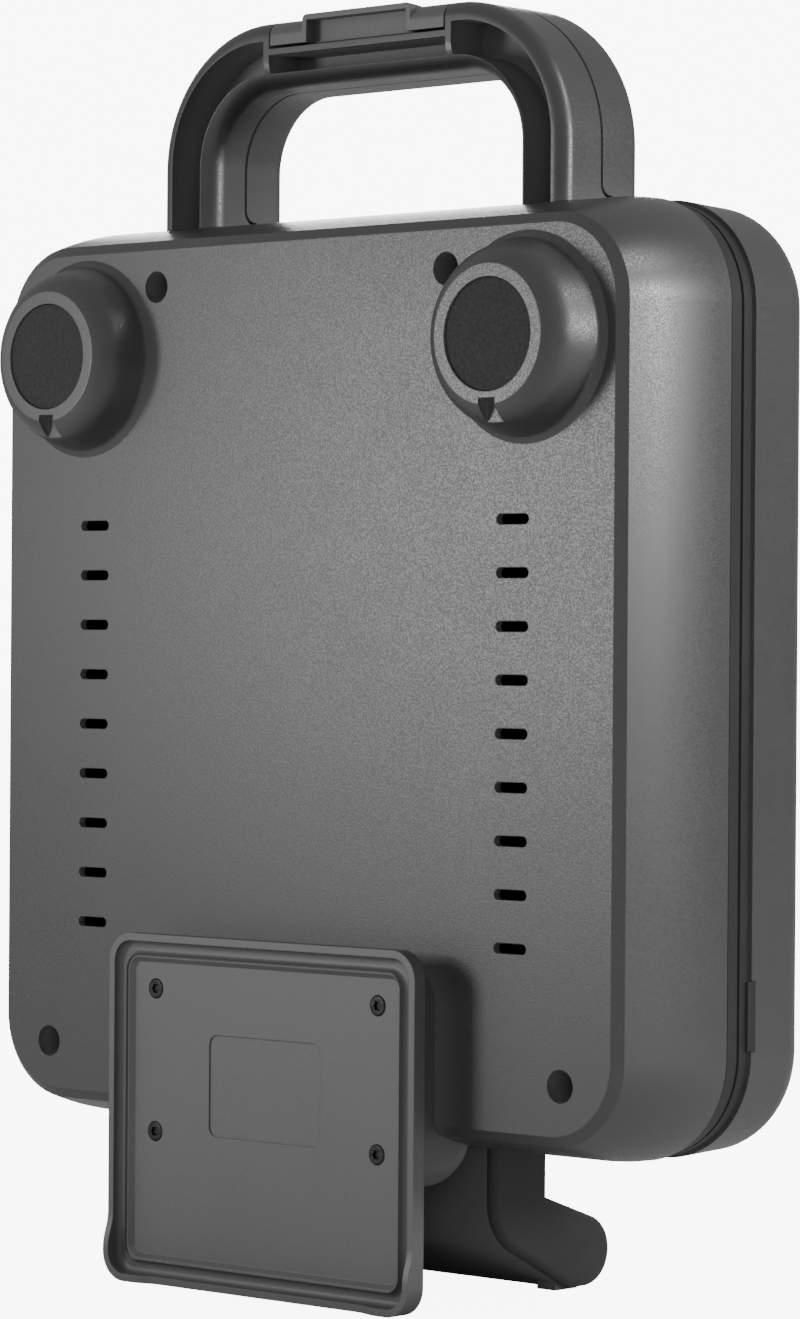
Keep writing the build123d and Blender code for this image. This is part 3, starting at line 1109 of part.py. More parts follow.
def lid_hinge_arm():
    """Arm from the lid's lower wall to the middle knuckle."""
    outline = polygon(
        (HINGE_Y - KNUCKLE_R, HINGE_Z),
        (HINGE_Y - KNUCKLE_R, BODY_BOTTOM_Z + ARM_ROOT),
        (ARM_BACK_Y, BODY_BOTTOM_Z + ARM_ROOT),
        (ARM_BACK_Y, HINGE_Z),
    )
    arm = beam(outline, -KNUCKLE_HALF_W, KNUCKLE_HALF_W)
    top_back = [e for e in arm.edges().filter_by(Axis.X) if (e @ 0.5).Y > ARM_BACK_Y - 1 and (e @ 0.5).Z > BODY_BOTTOM_Z]
    arm = fillet(top_back, ARM_ROOT_R)
    arm += rod_x(HINGE_Y, HINGE_Z, KNUCKLE_R, -KNUCKLE_HALF_W, KNUCKLE_HALF_W)
    arm -= lid_volume(0, LID_TOP_Y, LID_EDGE_R)
    return arm - rod_x(HINGE_Y, HINGE_Z, HINGE_BUSH_R, -FAR, FAR)


def hinge_bushes():
    """Two nylon bushes in the middle knuckle, running on the pin."""
    bush = rod_x(HINGE_Y, HINGE_Z, HINGE_BUSH_R - HINGE_BUSH_GAP, KNUCKLE_HALF_W - HINGE_BUSH_L, KNUCKLE_HALF_W)
    bush -= rod_x(HINGE_Y, HINGE_Z, HINGE_PIN_R + RUNNING_GAP - HINGE_PIN_GAP, -FAR, FAR)
    return both_sides(bush)


# --- lid ------------------------------------------------------------------------------
def lid_tab(side_gap):
    """Small notch in the lid's rim that the bezel's tab fills."""
    half = TAB_LENGTH / 2 - side_gap
    return block(
        (HALF_W - WALL - 1, HALF_W + 1),
        (LID_RIM_Y - LID_GROOVE_H - CUT, LID_RIM_Y + TAB_DEPTH - side_gap),
        (TAB_MID_Z - half, TAB_MID_Z + half),
    )


def lid_post_y():
    """Depth where a lid post meets the bezel's post."""
    return LID_RIM_Y + BEZEL_SKIRT


def lid_shell():
    """Outer lid with screw posts, holes for the two lights and the bezel tab notches."""
    shell = lid_volume(0, LID_TOP_Y, LID_EDGE_R) - lid_volume(WALL, LID_TOP_Y - WALL, LID_EDGE_R - WALL)
    posts = [rod_y(x, z, POST_R, lid_post_y(), LID_TOP_Y - WALL / 2) for x, z in SCREW_POINTS]
    shell += posts
    shell -= [rod_y(x, z, SCREW_SHANK_R + SCREW_GAP, LID_RIM_Y, lid_post_y() + POST_BITE) for x, z in SCREW_POINTS]
    shell -= both_sides(lid_tab(0))
    shell -= both_sides(rod_y(LIGHT_X, LIGHT_Z, LIGHT_R + LIGHT_GAP, BOARD_Y, LID_TOP_Y + 1))
    post_x = BOARD_WIDTH / 2 - BOARD_POST_INSET
    shell += both_sides(rod_y(post_x, LIGHT_Z, BOARD_POST_R, BOARD_TOP_Y, LID_TOP_Y - WALL / 2))
    return shell


def lid_bezel():
    """Dark frame that closes the lid round the upper plate."""
    inner = BEZEL_RECESS + BEZEL_WALL
    frame_y = LID_RIM_Y - LID_GROOVE_H
    frame = ring(BEZEL_RECESS, inner, LID_BEZEL_Y, frame_y)
    skirt = ring(BEZEL_SKIRT_INSET, inner, frame_y, lid_post_y())
    flange = slab(body_outline(inner - 1) - plate_outline(-FIT_GAP), LID_BEZEL_Y, LID_BEZEL_Y + BEZEL_FLANGE)
    posts = [rod_y(x, z, POST_R, LID_BEZEL_Y + 1, lid_post_y()) for x, z in SCREW_POINTS]
    tab_out = HALF_W - TAB_PROUD_GAP
    tabs = both_sides(lid_tab(FIT_GAP) & block((HALF_W - WALL, tab_out), (frame_y - CUT, FAR), (0, FAR)))
    bezel = frame + [skirt, flange] + posts + tabs
    for x, z in SCREW_POINTS:
        bezel -= rod_y(x, z, SCREW_SHANK_R + SCREW_GAP, LID_BEZEL_Y - 1, FAR)
        bezel -= rod_y(x, z, SCREW_HEAD_R + SCREW_GAP, LID_BEZEL_Y - 1, LID_BEZEL_Y + SCREW_HEAD_T)
    return bezel


def lid_screws():
    """Four screws from the bezel's face up into the lid."""
    screws = []
    for x, z in SCREW_POINTS:
        head = rod_y(x, z, SCREW_HEAD_R, LID_BEZEL_Y + FIT_GAP, LID_BEZEL_Y + SCREW_HEAD_T)
        shank = rod_y(x, z, SCREW_SHANK_R, LID_BEZEL_Y + SCREW_HEAD_T, lid_post_y() + POST_BITE - SCREW_TIP_ROOM)
        recess = rod_y(x, z, SCREW_SOCKET_R, LID_BEZEL_Y - CUT, LID_BEZEL_Y + SCREW_SOCKET_T)
        screws.append(head + shank - recess)
    return screws


def light_lens(x):
    """Round lens of one lamp in the lid."""
    lens = rod_y(x, LIGHT_Z, LIGHT_R, BOARD_TOP_Y + LAMP_L + LAMP_SPACE, LID_TOP_Y + LIGHT_PROUD)
    flange = rod_y(x, LIGHT_Z, LIGHT_R + LIGHT_FLANGE, LID_TOP_Y - WALL - LIGHT_FLANGE, LID_TOP_Y - WALL)
    lens = fillet(lens.edges().filter_by(GeomType.CIRCLE).group_by(Axis.Y)[-1], LIGHT_ROUND)
    return lens + flange


def light_board():
    """Small circuit board with two lamps behind the lenses."""
    z_range = (LIGHT_Z - BOARD_HEIGHT / 2, LIGHT_Z + BOARD_HEIGHT / 2)
    board = block((-BOARD_WIDTH / 2, BOARD_WIDTH / 2), (BOARD_Y, BOARD_TOP_Y), z_range)
    lamps = both_sides(rod_y(LIGHT_X, LIGHT_Z, LAMP_R, BOARD_TOP_Y, BOARD_TOP_Y + LAMP_L))
    return board + lamps


# --- wiring ---------------------------------------------------------------------------
def base_wiring():
    """Leads from the terminal block to the two ends of the lower heater."""
    top_z = TERMINAL_Z - TERMINAL_HEIGHT / 2
    y = WALL + TERMINAL_DEPTH / 2
    heater_z = element_end_z()
    leads = []
    for k, end_x in ((0, -ELEMENT_END_X), (1, ELEMENT_END_X)):
        x = TERMINAL_X + k * TERMINAL_WIDTH / 3
        low_z = top_z - 2 * WIRE_R - WIRE_SPACE * k
        points = [
            (x, y, top_z + 2 * WIRE_R),
            (x, y, low_z),
            (end_x, y + WIRE_R / 2, low_z + 0.2),
            (end_x, element_y(), low_z),
            (end_x, element_y(), heater_z),
        ]
        leads.append(tube(points, WIRE_BEND_R, WIRE_R))
    return leads


def lid_wiring():
    """Leads from the upper heater's ends round the reflector to the light board."""
    y = BOARD_Y - WIRE_R - SEAT_GAP
    heater_z = element_end_z()
    low_z = LOWER_SCREW_Z - POST_R - 2 * WIRE_SPACE
    high_z = UPPER_SCREW_Z - POST_R - 4 * WIRE_R
    leads = []
    for end_x in (ELEMENT_END_X, -ELEMENT_END_X):
        side_x = math.copysign(PLATE_WIDTH / 2 + LEAD_SIDE_SPACE, end_x)
        board_x = math.copysign(BOARD_WIDTH / 2 - 2 * BOARD_POST_INSET, end_x)
        points = [
            (end_x, y, heater_z),
            (end_x, y, low_z),
            (side_x, y, low_z + 0.1),
            (side_x, y, high_z),
            (board_x, y, high_z + 0.1),
            (board_x, y, high_z + LEAD_BEND_R + 2 * WIRE_R),
        ]
        leads.append(tube(points, LEAD_BEND_R, WIRE_R))
    return leads


# --- build and write every node -------------------------------------------------------
save("base_shell", base_shell())
save("front_foot_pads", *front_foot_pads())
save("base_bezel", base_bezel())
save("base_screws", *base_screws())
save("lower_plate", lower_plate())
save("lower_element", heating_element(element_y(), element_end_z()))
save("lower_reflector", lower_reflector())
save("lower_plate_clips", *plate_clips())
save("thermostat", thermostat())
save("thermal_fuse", thermal_fuse())
save("terminal_block", terminal_block())
save("cord_gland", cord_gland())
save("base_wiring", *base_wiring())
save("base_handle", base_handle())
save("rear_foot_neck", rear_foot_neck())
save("rear_foot_plate", rear_foot_plate())
save("foot_plate_screws", *foot_plate_screws())
save("hinge_housing", hinge_housing())
save("hinge_cheeks", *hinge_cheeks())
save("housing_screws", *housing_screws())
save("hinge_pin", hinge_pin())
save("lid_shell", lid_shell())
save("lid_bezel", lid_bezel())
save("lid_screws", *lid_screws())
save("lid_handle", lid_handle())
save("lid_hinge_arm", lid_hinge_arm())
save("hinge_bushes", *hinge_bushes())
save("upper_plate", flip(lower_plate()))
save("upper_element", flip(heating_element(element_y(), element_end_z())))
save("upper_reflector", flip(lower_reflector()))
save("upper_plate_clips", *[flip(clip) for clip in plate_clips()])
save("power_light_lens", light_lens(-LIGHT_X))
save("ready_light_lens", light_lens(LIGHT_X))
save("light_board", light_board())
save("lid_wiring", *lid_wiring())
save("latch_clip", latch_clip())
save("latch_pin", latch_pin())
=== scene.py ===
"""Looks of the sandwich maker: moulded plastics, rubber, metal and a pale studio."""

import json
import math

import bmesh
import bpy
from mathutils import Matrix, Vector

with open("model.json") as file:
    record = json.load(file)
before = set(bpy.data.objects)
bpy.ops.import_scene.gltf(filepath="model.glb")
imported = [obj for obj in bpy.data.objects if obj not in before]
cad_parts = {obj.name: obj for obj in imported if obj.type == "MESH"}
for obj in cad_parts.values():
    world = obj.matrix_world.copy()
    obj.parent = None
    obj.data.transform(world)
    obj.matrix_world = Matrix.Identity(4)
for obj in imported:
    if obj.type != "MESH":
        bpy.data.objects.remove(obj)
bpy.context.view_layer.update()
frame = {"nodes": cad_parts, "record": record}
nodes = frame["nodes"]

# --- sizes in metres, unless the name says otherwise ------------------------------------------
CAMERA_PLACE = (0.93977, -1.01920, 0.19021)
CAMERA_TURN_DEG = (89.770, -0.396, 42.297)
CAMERA_NEAR, CAMERA_FAR = 0.05, 60.0
LENS_MM, SENSOR_MM = 127.82, 36.0

AIR_SEEN, AIR_LIT = 9.0, 0.48        # strength to the camera, and on everything else
PAPER_SEEN, PAPER_LIT = 8.0, 0.0
PAPER_REACH = 12.0
PAPER_TONE = 0.70
PAPER_ROUGHNESS = 0.9

PANEL_Y = -0.031975                  # the flat underside panel, upright when the maker stands on end
PANEL_EDGE_START, PANEL_EDGE_END = 0.0006, 0.0026
PANEL_ROUGHER = 0.06
SIDE_GRAIN_SHARE = 0.25

PLASTIC_EDGE, HARD_EDGE = 0.0004, 0.0003   # radius that the corners are shaded with
SPARK_SCALE, FLOW_SCALE, FLECK_SCALE = 1500.0, 38.0, 1900.0   # noise cells per metre
SPECK_SHARE, SPECK_GAIN = 0.16, 2.2  # how much of a speck's tone shows, and how bright it is
# edges painted lighter: partly wear, partly a painted highlight
EDGE_WEAR_AND_HIGHLIGHT, WORN_AND_HIGHLIGHT_GAIN = 0.25, 2.6
FLOW_SHEEN = 0.008                   # roughness that the flow marks add or take
CREVICE_ROUGHER = 0.4
# blue tint of the painted fill light in crevices
PAINTED_FILL_BLUE = 1.02
CREVICE_DEEP, CREVICE_OPEN = 0.12, 0.62    # openness of a full crevice, and where one ends
EDGE_TURNED, EDGE_FLAT = 0.72, 0.995       # cosine between rounded and true normal
SHADER_SAMPLES = 4

BRUSH_STRETCH = (1.0, 1.0, 14.0)
METAL_GRAIN_DEPTH = 0.00003

MIX_COLOUR_A, MIX_COLOUR_B, MIX_COLOUR_RESULT = 6, 7, 2      # the Mix node's colour sockets

SEAM_GAP = 0.000002
CREASE_DEG = 24.0
NORMAL_WEIGHT = 50

# Nodes whose finish differs from the one of their material slot. The neck's finish is the shell's with
# painted fill light reaching further into its shade.
OWN_FINISH = {
    "rear_foot_neck": "neck_grey_painted_fill",
    "rear_foot_plate": "foot_plate_grey",
    "hinge_cheeks": "cheek_black",
}


# --- camera and studio ------------------------------------------------------------------------
def make_camera():
    data = bpy.data.cameras.new("camera")
    data.sensor_width = SENSOR_MM
    data.lens = LENS_MM
    data.clip_start = CAMERA_NEAR
    data.clip_end = CAMERA_FAR
    camera = bpy.data.objects.new("camera", data)
    camera.location = CAMERA_PLACE
    camera.rotation_euler = tuple(math.radians(turn) for turn in CAMERA_TURN_DEG)
    bpy.context.scene.collection.objects.link(camera)
    bpy.context.scene.camera = camera


def softbox(name, place, aim, width, height, power, glossy=True):
    data = bpy.data.lights.new(name, "AREA")
    data.shape = "RECTANGLE"
    data.size = width
    data.size_y = height
    data.energy = power
    light = bpy.data.objects.new(name, data)
    light.location = place
    light.rotation_euler = (Vector(aim) - Vector(place)).to_track_quat("-Z", "Y").to_euler()
    light.visible_glossy = glossy
    bpy.context.scene.collection.objects.link(light)


def make_lights():
    softbox("panel softbox", place=(-0.33, -0.564, 0.26), aim=(0.12, -0.03, 0.22),
            width=0.16, height=0.20, power=1.60)
    softbox("side softbox", place=(0.95, 0.27, 0.44), aim=(0.12, 0.0, 0.28),
            width=0.12, height=0.22, power=5.0)
    softbox("upper side softbox", place=(0.80, 0.23, 0.90), aim=(0.12, 0.0, 0.30),
            width=0.14, height=0.30, power=2.5)
    softbox("back softbox", place=(-1.05, 1.10, 0.72), aim=(0.0, 0.0, 0.30),
            width=0.40, height=0.30, power=7.0)
    softbox("front fill", place=(1.05, -1.14, 0.30), aim=(0.0, 0.0, 0.19),
            width=0.50, height=0.50, power=2.0, glossy=False)


def seen_white(tree, shader, strength_name, seen, lit):
    """Shines with strength seen to the camera, and with strength lit on everything else."""
    path = tree.nodes.new("ShaderNodeLightPath")
    level = tree.nodes.new("ShaderNodeMapRange")
    level.inputs["To Min"].default_value = lit
    level.inputs["To Max"].default_value = seen
    tree.links.new(path.outputs["Is Camera Ray"], level.inputs["Value"])
    tree.links.new(level.outputs["Result"], shader.inputs[strength_name])


def make_air():
    world = bpy.data.worlds.new("studio air")
    bpy.context.scene.world = world
    world.use_nodes = True
    background = world.node_tree.nodes["Background"]
    background.inputs["Color"].default_value = (1.0, 1.0, 1.0, 1.0)
    seen_white(world.node_tree, background, "Strength", AIR_SEEN, AIR_LIT)


def make_floor():
    """A wide sheet of pale paper that lies flat under the object."""
    mesh = bpy.data.meshes.new("studio_floor")
    bm = bmesh.new()
    bmesh.ops.create_grid(bm, x_segments=1, y_segments=1, size=PAPER_REACH)
    bm.to_mesh(mesh)
    bm.free()
    floor = bpy.data.objects.new("studio_floor", mesh)
    bpy.context.scene.collection.objects.link(floor)
    material = bpy.data.materials.new("pale_paper")
    material.use_nodes = True
    shader = material.node_tree.nodes["Principled BSDF"]
    shader.inputs["Base Color"].default_value = (PAPER_TONE, PAPER_TONE, PAPER_TONE, 1.0)
    shader.inputs["Roughness"].default_value = PAPER_ROUGHNESS
    shader.inputs["Emission Color"].default_value = (1.0, 1.0, 1.0, 1.0)
    seen_white(material.node_tree, shader, "Emission Strength", PAPER_SEEN, PAPER_LIT)
    mesh.materials.append(material)


# --- how a finish is put together -------------------------------------------------------------
class Recipe:
    """A material's node tree, with short ways to add and join its nodes."""

    def __init__(self, name):
        self.material = bpy.data.materials.new(name)
        self.material.use_nodes = True
        self.tree = self.material.node_tree
        self.shader = self.tree.nodes["Principled BSDF"]
        self.place = self.tree.nodes.new("ShaderNodeTexCoord").outputs["Object"]

    def link(self, source, target):
        self.tree.links.new(source, target)

    def noise(self, scale, detail=2.0, roughness=0.5, stretch=None):
        node = self.tree.nodes.new("ShaderNodeTexNoise")
        node.inputs["Scale"].default_value = scale
        node.inputs["Detail"].default_value = detail
        node.inputs["Roughness"].default_value = roughness
        place = self.place
        if stretch:
            mapping = self.tree.nodes.new("ShaderNodeMapping")
            mapping.inputs["Scale"].default_value = stretch
            self.link(place, mapping.inputs["Vector"])
            place = mapping.outputs["Vector"]
        self.link(place, node.inputs["Vector"])
        return node.outputs["Fac"]

    def pebbles(self, scale, smoothness):
        node = self.tree.nodes.new("ShaderNodeTexVoronoi")
        node.feature = "SMOOTH_F1"
        node.inputs["Scale"].default_value = scale
        node.inputs["Smoothness"].default_value = smoothness
        self.link(self.place, node.inputs["Vector"])
        return node.outputs["Distance"]

    def spread(self, value, low, high, from_low=0.3, from_high=0.7):
        """Eases from low to high as the value goes from from_low to from_high."""
        node = self.tree.nodes.new("ShaderNodeMapRange")
        node.interpolation_type = "SMOOTHSTEP"
        node.inputs["From Min"].default_value = from_low
        node.inputs["From Max"].default_value = from_high
        node.inputs["To Min"].default_value = low
        node.inputs["To Max"].default_value = high
        self.link(value, node.inputs["Value"])
        return node.outputs["Result"]

    def math(self, operation, first, second):
        node = self.tree.nodes.new("ShaderNodeMath")
        node.operation = operation
        for socket, value in zip(node.inputs, (first, second)):
            if isinstance(value, (int, float)):
                socket.default_value = value
            else:
                self.link(value, socket)
        return node.outputs["Value"]

    def axis(self, name):
        node = self.tree.nodes.new("ShaderNodeSeparateXYZ")
        self.link(self.place, node.inputs["Vector"])
        return node.outputs[name]

    def blend(self, share, first, second):
        node = self.tree.nodes.new("ShaderNodeMix")
        node.data_type = "RGBA"
        self.link(share, node.inputs["Factor"])
        for index, colour in ((MIX_COLOUR_A, first), (MIX_COLOUR_B, second)):
            if isinstance(colour, tuple):
                node.inputs[index].default_value = (*colour, 1.0)
            else:
                self.link(colour, node.inputs[index])
        return node.outputs[MIX_COLOUR_RESULT]

    def bump(self, height, depth, below=None):
        node = self.tree.nodes.new("ShaderNodeBump")
        node.inputs["Distance"].default_value = depth
        self.link(height, node.inputs["Height"])
        if below is not None:
            self.link(below, node.inputs["Normal"])
        return node.outputs["Normal"]

    def soft_edge(self, radius):
        node = self.tree.nodes.new("ShaderNodeBevel")
        node.samples = SHADER_SAMPLES
        node.inputs["Radius"].default_value = radius
        return node.outputs["Normal"]

    def sheltered(self, reach):
        """How deep a place lies in a crevice, from 0 in the open to 1."""
        node = self.tree.nodes.new("ShaderNodeAmbientOcclusion")
        node.samples = SHADER_SAMPLES
        node.inputs["Distance"].default_value = reach
        return self.spread(node.outputs["AO"], 1.0, 0.0, CREVICE_DEEP, CREVICE_OPEN)

    def worn_and_highlit(self, rounded, amount):
        """The amount where the rounded normal turns away from the true one, and 0 elsewhere."""
        geometry = self.tree.nodes.new("ShaderNodeNewGeometry")
        dot = self.tree.nodes.new("ShaderNodeVectorMath")
        dot.operation = "DOT_PRODUCT"
        self.link(rounded, dot.inputs[0])
        self.link(geometry.outputs["Normal"], dot.inputs[1])
        return self.spread(dot.outputs["Value"], amount, 0.0, EDGE_TURNED, EDGE_FLAT)


def brighter(colour, gain):
    return tuple(min(1.0, part * gain) for part in colour)


# --- the finishes of the pieces ---------------------------------------------------------------
def moulded(name, dark, light, roughness, grain_depth,
            panel=False, specular=0.5, painted_fill=0.075, reach=0.035, speckle=0.0):
    """Moulded plastic: a fine spark grain, faint flow marks, and edges painted lighter, partly as wear
    from handling and partly as a painted highlight.

    A place closed in within reach is painted lighter with the fill tone, a painted fill light that
    lifts its shade.
    With panel set, the grain is full only on the flat panel, which is also rougher. Speckle varies the
    sheen from fleck to fleck.
    """
    recipe = Recipe(name)
    shader = recipe.shader
    rounded = recipe.soft_edge(PLASTIC_EDGE)
    grain = recipe.noise(SPARK_SCALE, detail=3.0, roughness=0.6)
    flow = recipe.noise(FLOW_SCALE, detail=3.0, roughness=0.55)
    tone = recipe.blend(recipe.spread(flow, 0.0, 1.0), dark, light)
    speck = recipe.spread(grain, 0.0, SPECK_SHARE, from_low=0.45, from_high=0.72)
    tone = recipe.blend(speck, tone, brighter(light, SPECK_GAIN))
    patchy = recipe.spread(flow, 0.4, 1.0, from_low=0.35, from_high=0.6)
    # edges are painted lighter where the rounded normal turns: partly wear, partly a painted highlight
    worn_and_highlit = recipe.math("MULTIPLY", recipe.worn_and_highlit(rounded, EDGE_WEAR_AND_HIGHLIGHT), patchy)
    tone = recipe.blend(worn_and_highlit, tone, brighter(light, WORN_AND_HIGHLIGHT_GAIN))
    # crevices are painted lighter: painted fill light that lifts their shade
    sheltered = recipe.sheltered(reach)
    tone = recipe.blend(sheltered, tone, (painted_fill, painted_fill, painted_fill * PAINTED_FILL_BLUE))
    recipe.link(tone, shader.inputs["Base Color"])
    level = recipe.spread(flow, roughness - FLOW_SHEEN, roughness + FLOW_SHEEN)
    if panel:
        face = recipe.spread(recipe.axis("Y"), 1.0, SIDE_GRAIN_SHARE,
                             from_low=PANEL_Y + PANEL_EDGE_START, from_high=PANEL_Y + PANEL_EDGE_END)
        level = recipe.math("ADD", level, recipe.math("MULTIPLY", face, PANEL_ROUGHER))
        grain = recipe.math("MULTIPLY", grain, face)
    if speckle:
        flecks = recipe.noise(FLECK_SCALE, detail=1.0)
        flecks = recipe.spread(flecks, -speckle, speckle, from_low=0.35, from_high=0.65)
        level = recipe.math("ADD", level, flecks)
    level = recipe.math("ADD", level, recipe.math("MULTIPLY", sheltered, CREVICE_ROUGHER))
    recipe.link(level, shader.inputs["Roughness"])
    shader.inputs["Specular IOR Level"].default_value = specular
    recipe.link(recipe.bump(grain, grain_depth, rounded), shader.inputs["Normal"])
    return recipe.material


def rubber(name, dark, light, grain_depth=0.00012):
    """Dull rubber or sleeving with a fine grain."""
    recipe = Recipe(name)
    shader = recipe.shader
    grain = recipe.noise(900.0, detail=4.0, roughness=0.65)
    tone = recipe.blend(recipe.spread(recipe.noise(120.0, detail=3.0), 0.0, 1.0), dark, light)
    recipe.link(tone, shader.inputs["Base Color"])
    recipe.link(recipe.spread(grain, 0.62, 0.82), shader.inputs["Roughness"])
    shader.inputs["Specular IOR Level"].default_value = 0.3
    recipe.link(recipe.bump(grain, grain_depth, recipe.soft_edge(HARD_EDGE)), shader.inputs["Normal"])
    return recipe.material


def metal(name, dark, light, roughness):
    """Bare or blackened metal with fine lines that run one way."""
    recipe = Recipe(name)
    shader = recipe.shader
    lines = recipe.noise(240.0, detail=4.0, roughness=0.6, stretch=BRUSH_STRETCH)
    recipe.link(recipe.blend(recipe.spread(lines, 0.0, 1.0), dark, light), shader.inputs["Base Color"])
    recipe.link(recipe.spread(lines, roughness - 0.06, roughness + 0.1), shader.inputs["Roughness"])
    shader.inputs["Metallic"].default_value = 1.0
    normal = recipe.bump(lines, METAL_GRAIN_DEPTH, recipe.soft_edge(HARD_EDGE))
    recipe.link(normal, shader.inputs["Normal"])
    return recipe.material


def non_stick(name):
    """Dark coated aluminium with a fine fleck in the coating."""
    recipe = Recipe(name)
    shader = recipe.shader
    coating, fleck_tone = (0.024, 0.024, 0.025), (0.13, 0.13, 0.135)
    flecks = recipe.pebbles(1300.0, smoothness=0.6)
    flecks = recipe.spread(flecks, 0.25, 0.0, from_low=0.05, from_high=0.25)
    recipe.link(recipe.blend(flecks, coating, fleck_tone), shader.inputs["Base Color"])
    sheen = recipe.noise(60.0, detail=3.0)
    recipe.link(recipe.spread(sheen, 0.26, 0.38), shader.inputs["Roughness"])
    ripple = recipe.noise(500.0, detail=3.0)
    recipe.link(recipe.bump(ripple, 0.00005, recipe.soft_edge(PLASTIC_EDGE)), shader.inputs["Normal"])
    return recipe.material


def tinted_lens(name, deep, bright):
    """Coloured clear-coated plastic over an indicator light."""
    recipe = Recipe(name)
    shader = recipe.shader
    tone = recipe.blend(recipe.spread(recipe.noise(300.0), 0.0, 1.0), deep, bright)
    recipe.link(tone, shader.inputs["Base Color"])
    recipe.link(recipe.spread(recipe.noise(700.0), 0.08, 0.16), shader.inputs["Roughness"])
    shader.inputs["Coat Weight"].default_value = 0.6
    recipe.link(recipe.bump(recipe.noise(500.0, detail=1.0), 0.00002), shader.inputs["Normal"])
    return recipe.material


def make_plastics():
    shell_dark, shell_light = (0.0225, 0.0225, 0.023), (0.0245, 0.0245, 0.025)
    # the plate tone is a lighter copy of the shell tone: painted light that brightens the foot plate
    # and latch
    plate_dark, plate_light = (0.064, 0.064, 0.0645), (0.068, 0.068, 0.0685)
    return {
        "shell_grey": moulded(
            "shell_grey", shell_dark, shell_light, roughness=0.38, grain_depth=0.00004,
            panel=True, specular=1.0, painted_fill=0.16, speckle=0.06),
        # the shell finish with painted fill light reaching further into the neck's shade
        "neck_grey_painted_fill": moulded(
            "neck_grey_painted_fill", shell_dark, shell_light, roughness=0.40, grain_depth=0.00003,
            specular=0.9, painted_fill=0.10, reach=0.10),
        "foot_plate_grey": moulded(
            "foot_plate_grey", plate_dark, plate_light, roughness=0.52, grain_depth=0.00002,
            specular=1.0, painted_fill=0.05),
        "latch_grey": moulded(
            "latch_grey", plate_dark, plate_light, roughness=0.42, grain_depth=0.00003,
            specular=1.0),
        "bezel_black": moulded(
            "bezel_black", (0.016, 0.016, 0.017), (0.020, 0.020, 0.021),
            roughness=0.5, grain_depth=0.00004, specular=0.35),
        # the housing carries strong painted fill light to lift its shade
        "hinge_black": moulded(
            "hinge_black", (0.012, 0.012, 0.013), (0.015, 0.015, 0.016),
            roughness=0.5, grain_depth=0.00003, specular=0.4, painted_fill=0.15, reach=0.12),
        "cheek_black": moulded(
            "cheek_black", (0.019, 0.019, 0.020), (0.022, 0.022, 0.023),
            roughness=0.5, grain_depth=0.00003, specular=0.4, painted_fill=0.05, reach=0.05),
        "terminal_plastic": moulded(
            "terminal_plastic", (0.50, 0.48, 0.42), (0.58, 0.56, 0.50),
            roughness=0.5, grain_depth=0.00003),
        "bush_nylon": moulded(
            "bush_nylon", (0.55, 0.54, 0.50), (0.62, 0.61, 0.57),
            roughness=0.5, grain_depth=0.00003),
        "board_laminate": moulded(
            "board_laminate", (0.02, 0.12, 0.05), (0.03, 0.15, 0.06),
            roughness=0.35, grain_depth=0.00003),
        "red_lens": tinted_lens("red_lens", (0.35, 0.012, 0.01), (0.5, 0.02, 0.015)),
        "green_lens": tinted_lens("green_lens", (0.02, 0.20, 0.04), (0.03, 0.30, 0.06)),
    }


def make_rubbers():
    return {
        "foot_rubber": rubber(
            "foot_rubber", (0.027, 0.027, 0.028), (0.029, 0.029, 0.030), grain_depth=0.00001),
        "gland_rubber": rubber("gland_rubber", (0.015, 0.015, 0.016), (0.022, 0.022, 0.023)),
        "wire_cover": rubber("wire_cover", (0.30, 0.28, 0.25), (0.38, 0.36, 0.33)),
        "fuse_sleeve": rubber("fuse_sleeve", (0.55, 0.52, 0.44), (0.65, 0.62, 0.54)),
    }


def make_metals():
    return {
        "cooking_plate": non_stick("cooking_plate"),
        "black_steel": metal("black_steel", (0.03, 0.03, 0.032), (0.06, 0.06, 0.064), roughness=0.4),
        "heater_steel": metal("heater_steel", (0.22, 0.20, 0.18), (0.34, 0.31, 0.28), roughness=0.38),
        "reflector_sheet": metal(
            "reflector_sheet", (0.55, 0.56, 0.57), (0.68, 0.69, 0.70), roughness=0.3),
        "spring_steel": metal("spring_steel", (0.45, 0.45, 0.46), (0.58, 0.58, 0.6), roughness=0.32),
        "pin_steel": metal("pin_steel", (0.5, 0.5, 0.52), (0.64, 0.64, 0.66), roughness=0.25),
        "thermostat_can": metal(
            "thermostat_can", (0.4, 0.4, 0.41), (0.55, 0.55, 0.56), roughness=0.35),
    }


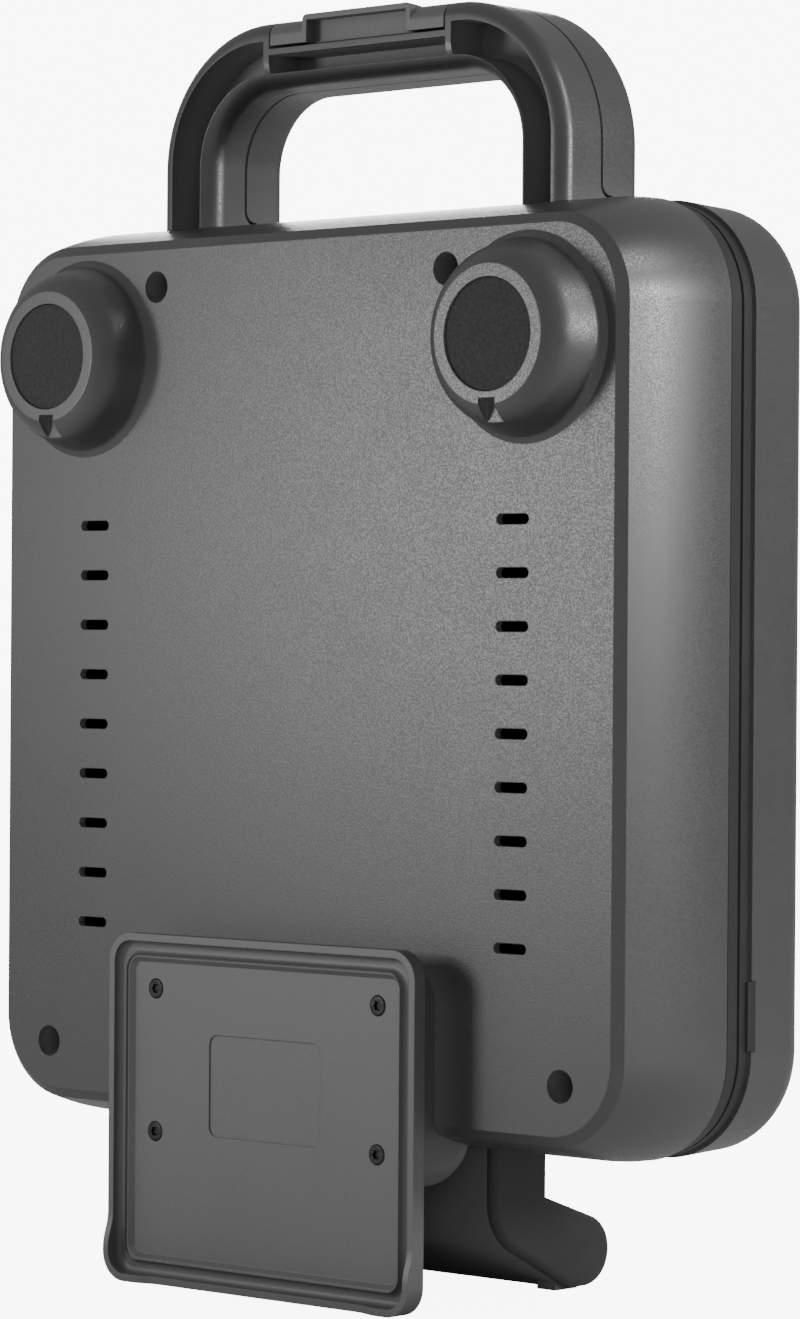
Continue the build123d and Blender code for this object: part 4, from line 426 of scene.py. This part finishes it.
# --- the finishes and smooth shading put on the pieces ----------------------------------------
def dress_nodes(materials):
    for part in frame["record"]["subparts"]:
        finish = OWN_FINISH.get(part["node"], part["material_slot"])
        node = nodes[part["node"]]
        node.data.materials.clear()
        node.data.materials.append(materials[finish])


def seamless_group():
    """Joins each surface across its seams, and keeps only edges turned past the crease sharp."""
    tree = bpy.data.node_groups.new("seamless", "GeometryNodeTree")
    tree.interface.new_socket("Geometry", in_out="INPUT", socket_type="NodeSocketGeometry")
    tree.interface.new_socket("Geometry", in_out="OUTPUT", socket_type="NodeSocketGeometry")
    source = tree.nodes.new("NodeGroupInput")
    merge = tree.nodes.new("GeometryNodeMergeByDistance")
    merge.inputs["Distance"].default_value = SEAM_GAP
    strip = tree.nodes.new("GeometryNodeRemoveAttribute")
    strip.inputs["Name"].default_value = "custom_normal"
    smooth = tree.nodes.new("GeometryNodeSetShadeSmooth")
    smooth.domain = "FACE"
    angle = tree.nodes.new("GeometryNodeInputMeshEdgeAngle")
    gentle = tree.nodes.new("ShaderNodeMath")
    gentle.operation = "LESS_THAN"
    gentle.inputs[1].default_value = math.radians(CREASE_DEG)
    tree.links.new(angle.outputs["Unsigned Angle"], gentle.inputs[0])
    crease = tree.nodes.new("GeometryNodeSetShadeSmooth")
    crease.domain = "EDGE"
    tree.links.new(gentle.outputs["Value"], crease.inputs["Shade Smooth"])
    target = tree.nodes.new("NodeGroupOutput")
    chain = [source, merge, strip, smooth, crease, target]
    for first, second in zip(chain, chain[1:]):
        tree.links.new(first.outputs[0], second.inputs[0])
    return tree


def smooth_surfaces():
    group = seamless_group()
    for part in frame["record"]["subparts"]:
        node = nodes[part["node"]]
        seams = node.modifiers.new("seams", "NODES")
        seams.node_group = group
        normals = node.modifiers.new("normals", "WEIGHTED_NORMAL")
        normals.mode = "FACE_AREA"
        normals.weight = NORMAL_WEIGHT
        normals.keep_sharp = True


make_camera()
make_lights()
make_air()
make_floor()
dress_nodes({**make_plastics(), **make_rubbers(), **make_metals()})
smooth_surfaces()
